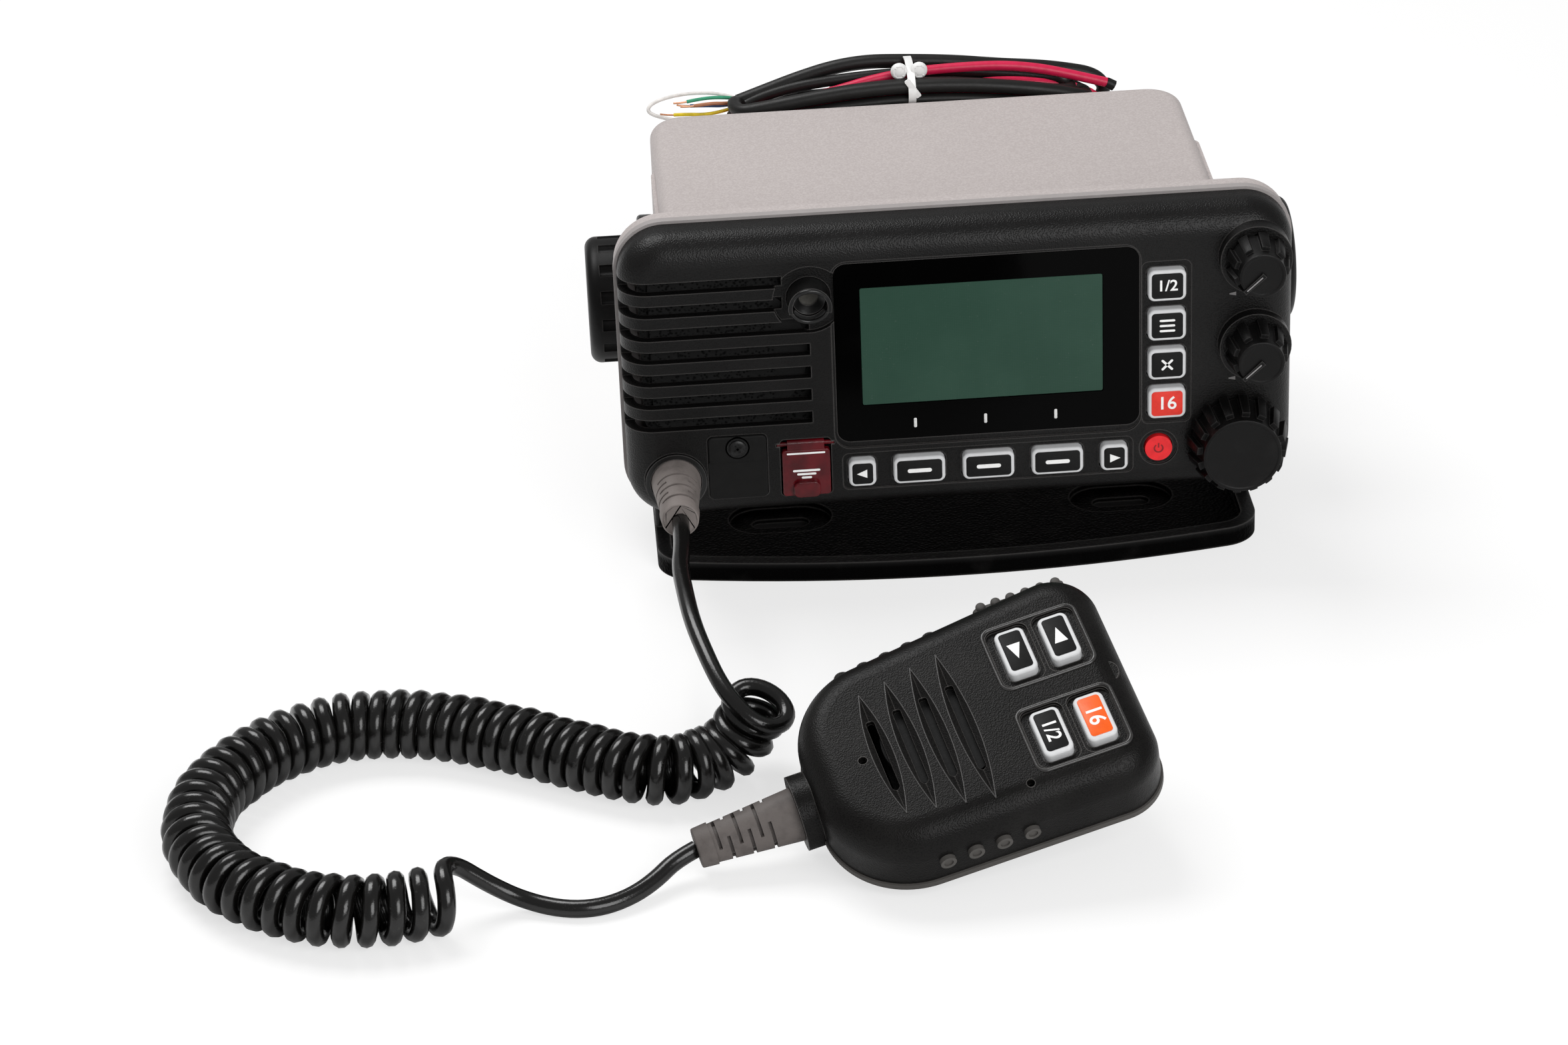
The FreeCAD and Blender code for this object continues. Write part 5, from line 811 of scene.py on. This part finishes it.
hood_lip = bead("hood_lip", [(*swung(LIP_RADIUS, 15 * step), 0) for step in range(25)], LIP_THICK)
mount(hood_lip, in_front(HOOD_X, -51.2, HOOD_Z) @ turn(14, "X"), ring_black, "radio", 60)
funnel = solid("lens_funnel", "cone", vertices=48, radius1=2.7 * MM, radius2=4.6 * MM, depth=1.6 * MM,
               end_fill_type="NOTHING")
modify(funnel, "SOLIDIFY", thickness=0.3 * MM)
mount(funnel, in_front(HOOD_X, -45.6, HOOD_Z), ring_black, "radio", 60)

# --------------------
# Turning knobs
# Satin black knobs pressed on steel shafts: two small ones for loudness and squelch above each
# other, and the large channel dial below them. A thin line is printed on each small one's ridge.
SMALL_X, SMALL_LEVELS, POINTING = 79.2, {"squelch": 91.5, "volume": 66}, 222
WEDGE_X, WEDGE_LEVELS = 73.4, {"squelch": 80.6, "volume": 55.6}
grey_print = mottled(
    "grey_print", 0.3, (0.28, 0.27, 0.27), (0.2, 0.19, 0.19),
    patches=(0.0007, 3), gloss=(0.0005, 2, 0.2, 0.42), bumps=(0.0003, 2, 0.00001))
dress(steel, "squelch_shaft", "volume_shaft", "dial_shaft")


def fluted_knob(name, root, cap, skirt, whole, teeth, tooth):
    """A knob along Z: a tapered skirt with teeth all round and a plain round cap in front of it."""
    piece = solid(name, "cone", vertices=4 * teeth, radius1=root * MM, radius2=cap * MM, depth=skirt * MM,
                  location=(0, 0, skirt / 2 * MM))
    mode("EDIT")
    step = 2 * math.pi / teeth
    pick(piece, lambda at, facing: abs(facing.z) < 0.8 and (math.atan2(at.x, at.y) % step) < step * 0.5)
    bpy.ops.mesh.extrude_region_shrink_fatten(TRANSFORM_OT_shrink_fatten={"value": tooth * MM})
    pick(piece, lambda at, facing: facing.z > 0.95 and math.hypot(at.x, at.y) < 0.5 * MM)
    bpy.ops.mesh.extrude_region_move(TRANSFORM_OT_translate={"value": (0, 0, (whole - skirt) * MM)})
    pick(piece, lambda at, facing: facing.z > 0.95 and at.z > (whole - 0.1) * MM)
    step_in(0.7, 0.12)
    step_in(0.35, -0.22)
    mode("OBJECT")
    modify(piece, "BEVEL", width=0.28 * MM, segments=2, angle_limit=math.radians(28))
    return piece


for body, level in SMALL_LEVELS.items():
    knob = fluted_knob(body + "_turned", 7.4, 6.2, 7.0, 9.8, 9, 1.2)
    mount(knob, in_front(SMALL_X, -51, level), knob_black, body, 25)
    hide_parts(body + "_knob")
knob = fluted_knob("dial_turned", 12.5, 10.6, 7.4, 9.8, 16, 1.5)
mount(knob, in_front(74.8, -48.4, 37.5), knob_black, "dial", 25)
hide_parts("dial_knob")
for body, level in SMALL_LEVELS.items():
    ridge = outline(body + "_ridge", [(-0.6, -0.75), (6.6, -0.55), (6.6, 0.55), (-0.6, 0.75)], 0.6)
    mount(ridge, in_front(SMALL_X, -60.75, level) @ turn(POINTING, "Z"), knob_black, body)
    pointer = bar(body + "_pointer", 0, 5.6, 0.34, x=3.0)
    mount(pointer, in_front(SMALL_X, -61.34, level) @ turn(POINTING, "Z"), grey_print, body)
for name, level in WEDGE_LEVELS.items():
    wedge = outline(name + "_wedge", [(-0.9, -0.15), (0.9, -0.55), (0.9, 0.55), (-0.9, 0.15)])
    mount(wedge, in_front(WEDGE_X, -47.02, level), grey_print, "radio")

# --------------------
# Rear leads
# A nickel-plated aerial socket and two rubber glands stand behind the case. The jacketed data lead
# and the black and red power pair leave the glands and lie folded up on the fins, tied once.
DATA_LEAD, BLACK_LEAD, RED_LEAD = 4.2 * MM, 3.3 * MM, 2.9 * MM
WIRE, WIRE_CORE = 1.1 * MM, 0.6 * MM
ARCH_TOP, ARCH_SPREAD = 89.9, 404

plated = mottled(
    "nickel_plate", 0.5, (0.66, 0.64, 0.6), (0.56, 0.54, 0.5),
    patches=(0.004, 3), gloss=(0.002, 3, 0.14, 0.2), bumps=(0.0006, 3, 0.00002), Metallic=1.0)
dress(plated, "antenna_socket")


def fold(near, far, near_middle, far_middle, near_lift, far_lift, reach):
    """One loop of a hank, to the right behind and back to the left in front, arched over the fins."""
    def arch(x, lift):
        return ARCH_TOP + lift - x * x / ARCH_SPREAD

    def pinch(share):
        return 1 - (share * 1.2) ** 2 if abs(share) < 0.8 else 0

    def row(shares, side, side_middle, lift):
        return [(share * reach, side + (side_middle - side) * pinch(share), arch(share * reach, lift))
                for share in shares]

    loop = row((-0.82, -0.42, 0.02, 0.44, 0.84), far, far_middle, far_lift)
    loop.append((1.02 * reach, far - 1.5, arch(reach, (far_lift * 2 + near_lift) / 3)))
    loop.append((1.04 * reach, near + 1.5, arch(reach, (far_lift + near_lift * 2) / 3)))
    loop += row((0.82, 0.4, -0.03, -0.44, -0.84), near, near_middle, near_lift)
    loop.append((-1.02 * reach, near + 1.5, arch(reach, near_lift)))
    loop.append((-1.03 * reach, far - 1.5, arch(reach, near_lift)))
    return loop


data_points = ([(-48, 102.5, 62), (-48, 109, 62), (-47.2, 114.5, 64), (-45, 117.5, 71), (-41.5, 115, 79),
                (-38, 108, 82), (-33, 101.5, 83), (-24, 98, 84.6), (-8, 96.6, 86.6), (18, 96.8, 86.2)]
               + fold(85.4, 99.5, 84.9, 96.3, 1.6, -3.0, 50)[3:]
               + [(-46, 98.5, 79.4), (-24, 94.2, 83.8), (0, 92, 86), (24, 94.2, 84), (40, 96.2, 79.4),
                  (49, 97.2, 76.9), (56, 98.6, 77.3), (58.8, 99.9, 81.4), (55.2, 100.7, 85.4),
                  (46.5, 100.8, 87.4), (38.7, 100.6, 88.8), (26.9, 100.6, 90), (13.2, 100.5, 92),
                  (-2.4, 100.4, 93.2), (-12.1, 100.4, 93.6), (-22, 100.4, 92.4), (-31.8, 100.3, 89.7),
                  (-41, 100.2, 86.6), (-50, 100, 83.5)])
black_points = ([(-26, 102.5, 64), (-26, 109, 64), (-25.4, 114, 66), (-23.5, 117, 73), (-20, 114.5, 81),
                 (-16, 107.5, 84.5), (-9, 102.5, 87.4), (4, 101.4, 88.7)]
                + fold(85, 100.6, 84.6, 101.4, -2.4, -1.2, 51)[3:]
                + fold(87.2, 98, 88.9, 97, 0.9, 1.0, 46)[:12] + [(-46, 90.5, 85)])
red_points = ([(-26, 102.5, 60), (-26, 109, 60), (-25.2, 115, 61.5), (-22.5, 119, 69), (-17, 115.5, 78.5),
               (-11, 107, 82.5), (-3, 98, 84.6), (12, 93.4, 85.6)]
              + fold(87.5, 97, 88.6, 92.6, -2.8, -0.4, 53)[3:]
              + [(-46.5, 97.2, 81), (-36, 91.6, 85.4), (-22, 90.8, 88.8), (-10, 92.2, 91.4), (2, 93, 92.6),
                 (14, 93.2, 93), (27, 93.2, 92.9), (38, 93, 91.4), (48, 92.6, 88.8), (58, 92.4, 85.8)])
lead_jacket = mottled(
    "lead_jacket", 0.25, (0.0055, 0.0054, 0.0052), (0.013, 0.0125, 0.012),
    patches=(0.005, 4), gloss=(0.002, 3, 0.16, 0.36), bumps=(0.0005, 3, 0.00004))
lead_red = coloured_plastic("lead_red", (0.62, 0.012, 0.07), (0.54, 0.01, 0.055))
copper = mottled(
    "bare_copper", 0.5, (0.78, 0.42, 0.26), (0.62, 0.31, 0.19),
    patches=(0.0008, 3), gloss=(0.0005, 2, 0.2, 0.28), bumps=(0.0002, 2, 0.00002), Metallic=1.0)

data_lead = line("data_lead", data_points)
black_lead = line("black_power_lead", black_points)
red_lead = line("red_power_lead", red_points)
for piece, diameter, finish in ((data_lead, DATA_LEAD, lead_jacket), (black_lead, BLACK_LEAD, lead_jacket),
                                (red_lead, RED_LEAD, lead_red)):
    thicken(piece, diameter)
    fasten(piece, finish, "radio")

wires = []
for name, plain, *route in (
        ("yellow", (0.8, 0.6, 0.02),
         (-49, 99, 82.8), (-54, 98.2, 81.6), (-60, 97.6, 81), (-65, 97.8, 81.4), (-69, 98.4, 81.2)),
        ("green", (0.03, 0.3, 0.16),
         (-49, 100, 84.4), (-54, 100.4, 85), (-60, 100.2, 85.2), (-65, 99.6, 84.6)),
        ("brown", (0.42, 0.17, 0.08),
         (-49, 99.4, 83.6), (-54, 99, 83.6), (-58, 98.4, 84.2), (-63, 98, 83.8)),
        ("blue", (0.03, 0.08, 0.25),
         (-49, 100.4, 83), (-54, 101, 82), (-59, 101.2, 82.4), (-64, 100.6, 82.8)),
        ("white", (0.78, 0.75, 0.72),
         (-49, 100.8, 84), (-55, 101.6, 85.8), (-62, 101.8, 86.4), (-69, 101, 86.2),
         (-75, 99.6, 85), (-77, 98.4, 83), (-74, 97.6, 81.2), (-69, 97.4, 80))):
    wire = line("wire_" + name, route)
    thicken(wire, WIRE, 2)
    wire_plastic = coloured_plastic("wire_" + name, plain, tuple(0.82 * c for c in plain))
    fasten(wire, wire_plastic, "radio")
    end = Vector(route[-1])
    onward = (end - Vector(route[-2])).normalized()
    tip = line("wire_tip_" + name, [route[-1], tuple(end + 2 * onward),
                                    tuple(end + 4 * onward + Vector((0, 0.3, 0.3)))])
    thicken(tip, WIRE_CORE, 2)
    fasten(tip, copper, "radio")
    wires += [wire, tip]
black_tip = line("black_lead_tip", [black_points[-1], (-47.2, 90.6, 84.6), (-48.2, 90.8, 84.1)])
red_tip = line("red_lead_tip", [red_points[-1], (59.2, 92.35, 85.2), (60.2, 92.3, 84.6)])
for tip in (black_tip, red_tip):
    thicken(tip, BLACK_LEAD, 2)
    fasten(tip, lead_jacket, "radio")
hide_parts("rear_hank", "rear_leads")

# --------------------
# Twist tie
# A white plastic band round the middle of the hank. Its two ends are twisted into flat round knobs
# in front, and a short stem hangs below them.
HANK_MIDDLE = (0, 0.0929, 0.0899)
BAND_WIDE, BAND_THICK, BAND_X, BAND_Z = 2.2 * MM, 0.5 * MM, 5.9 * MM, 11.2 * MM


def repeated(piece, count):
    """A modelled piece, its name ending in 0, and its copies, each with its own mesh."""
    pieces = [piece]
    for n in range(1, count):
        again = piece.copy()
        again.data = piece.data.copy()
        again.name = piece.name[:-1] + str(n)
        bpy.context.collection.objects.link(again)
        pieces.append(again)
    return pieces


tie_white = coloured_plastic("tie_white", (0.86, 0.86, 0.85), (0.8, 0.8, 0.79))
tie = solid("twist_tie", "cylinder", vertices=56, radius=1, depth=BAND_WIDE, end_fill_type="NOTHING",
            location=HANK_MIDDLE, rotation=(0, math.pi / 2, 0), scale=(BAND_X, BAND_Z, 1))
modify(tie, "SOLIDIFY", thickness=BAND_THICK, offset=0)
settle(tie, Matrix.Identity(4))
stem = plate("tie_stem", 1.7, 6.5, 0.5, 0.4, 0.1)
settle(stem, shift(0.2, 82.6, 91.6) @ turn(-34, "Y") @ turn(90, "X"))
knot = solid("tie_twist_0", "uv_sphere", segments=24, ring_count=12, radius=2.5 * MM, scale=(1, 0.62, 1))
mode("EDIT")
pick(knot, lambda at, facing: facing.y < -0.8)
bpy.ops.mesh.inset(thickness=0.3 * MM, depth=-0.25 * MM)
mode("OBJECT")
knots = repeated(knot, 2)
for knot, across in zip(knots, (-3.3, 2.5)):
    settle(knot, shift(across, 87.4, 95.2))
for piece in [tie, stem] + knots:
    fasten(piece, tie_white, "radio")
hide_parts("hank_tie")

# --------------------
# Microphone
# Two grained black shells with a grey rubber seal between them, closed by screws from behind. A
# smooth raised lip runs round each tray of keys and along each sound scoop.
TRAY_HALF_WIDE, TRAY_HALF_HIGH, TRAY_CORNER = 12.1, 9.5, 2.6
TRAYS = (11.3, -14.3)
mic_black = grained(
    "mic_grained", 0.11, (0.0016, 0.0015, 0.0014), (0.1, 0.094, 0.09),
    grain=0.0004, patch_size=0.015, edge=0.0006, least=0.28, height=0.00004)
dress(mic_black, "mic_front_shell", "mic_rear_shell")
seal_grey = mottled(
    "seal_rubber", 0.25, (0.06, 0.056, 0.052), (0.085, 0.08, 0.075),
    patches=(0.004, 4), gloss=(0.001, 3, 0.15, 0.5), bumps=(0.0005, 3, 0.00005))
dress(seal_grey, "mic_seal")
# The lips are a smoother, glossier black; their base colour, paler than the shell's, is a painted highlight.
mic_edge = mottled(
    "mic_edge", 0.6, (0.012, 0.0112, 0.0106), (0.03, 0.028, 0.027),
    patches=(0.003, 3), gloss=(0.001, 3, 0.15, 0.22), bumps=(0.0004, 3, 0.00003))


def on_microphone(x, y, z):
    """The place of a piece modelled flat, on the microphone's face."""
    return PLACED @ shift(x, y, z)


tray = [(0, -TRAY_HALF_HIGH, 0)]
for x, y, turned in ((1, -1, -90), (1, 1, 0), (-1, 1, 90), (-1, -1, 180)):
    centre = x * (TRAY_HALF_WIDE - TRAY_CORNER), y * (TRAY_HALF_HIGH - TRAY_CORNER)
    tray += [(*swung(TRAY_CORNER, turned + 22.5 * step, *centre), 0) for step in range(5)]
tray.append((0, -TRAY_HALF_HIGH, 0))
for rim, level in zip(repeated(bead("tray_rim_0", tray, 1.1), 2), TRAYS):
    mount(rim, on_microphone(0, level, -0.12), mic_edge, "microphone", 60)
for n in range(4):
    half = (37 + 2.8 * n) / 2
    for side, which in ((-1, "left"), (1, "right")):
        edge = [(side * 2.75 * (1 - share * share), share * half, 0)
                for share in (-1, -0.8, -0.6, -0.4, -0.2, 0, 0.2, 0.4, 0.6, 0.8, 1)]
        lip = bead(f"scoop_lip_{n}_{which}", edge, 0.5)
        mount(lip, on_microphone(-45.5 + 7.1 * n, -3.75, -0.06), mic_edge, "microphone", 60)

# --------------------
# Microphone keys
# Four keys like the panel's: a pale rubber frame under a hard face with a white printed sign. One
# face is orange, and the two numbers are read with the cord at the bottom.
key_orange = coloured_plastic("key_orange", (0.88, 0.115, 0.006), (0.8, 0.1, 0.005))
ASIDE = 5.65
for name, across, level, finish in (
        ("mic_down", -ASIDE, TRAYS[0], key_black), ("mic_up", ASIDE, TRAYS[0], key_black),
        ("mic_level", -ASIDE, TRAYS[1], key_black), ("mic_orange", ASIDE, TRAYS[1], key_orange)):
    face = plate(name + "_face", 5.6, 11.4, FACE_THICK, 0.9, FACE_EDGE)
    mount(face, on_microphone(across, level, 1.6),
          finish, name)
for name, across, words, high in (("mic_level", -ASIDE, "1/2", 3.5), ("mic_orange", ASIDE, "16", 4.0)):
    sign = lettering(name + "_sign", words, high)
    mount(sign, on_microphone(across, TRAYS[1], 1.76) @ turn(-90, "Z"), white_print, name)
for name, way in (("mic_down", -1), ("mic_up", 1)):
    sign = outline(name + "_sign", [(-1.7, -2.0 * way), (1.7, -2.0 * way), (0, 2.6 * way)])
    mount(sign, on_microphone(way * ASIDE, TRAYS[0], 1.74), white_print, name)

# --------------------
# Talk bar
# A long bar of grey rubber in the side of the microphone, pressed with the thumb. Six upright ribs
# are moulded on it for grip.
grip_grey = mottled(
    "grip_rubber", 0.25, (0.06, 0.056, 0.053), (0.085, 0.08, 0.076),
    patches=(0.003, 4), gloss=(0.001, 3, 0.15, 0.5), bumps=(0.0004, 3, 0.00005))
RIBS, RIB_PITCH, RIB_RADIUS, RIB_LONG = 6, 3.95, 1.3, 9.6
talk_bar = plate("talk_bar", 24, 8.4, 4.6, 1.6, 0.9)
mount(talk_bar, on_microphone(1.5, 27.5, -9.6) @ turn(-90, "X"), grip_grey, "talk")
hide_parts("talk_key")
rib = solid("talk_rib_0", "cylinder", vertices=24, radius=RIB_RADIUS * MM, depth=RIB_LONG * MM)
mode("EDIT")
pick(rib, lambda at, way: abs(at.z) > (RIB_LONG / 2 - 0.1) * MM, "edges")
bpy.ops.mesh.bevel(offset=0.8 * MM, segments=4)
mode("OBJECT")
for n, rib in enumerate(repeated(rib, RIBS)):
    mount(rib, on_microphone(-8.3 + RIB_PITCH * n, 32.0, -9.5), grip_grey, "talk")
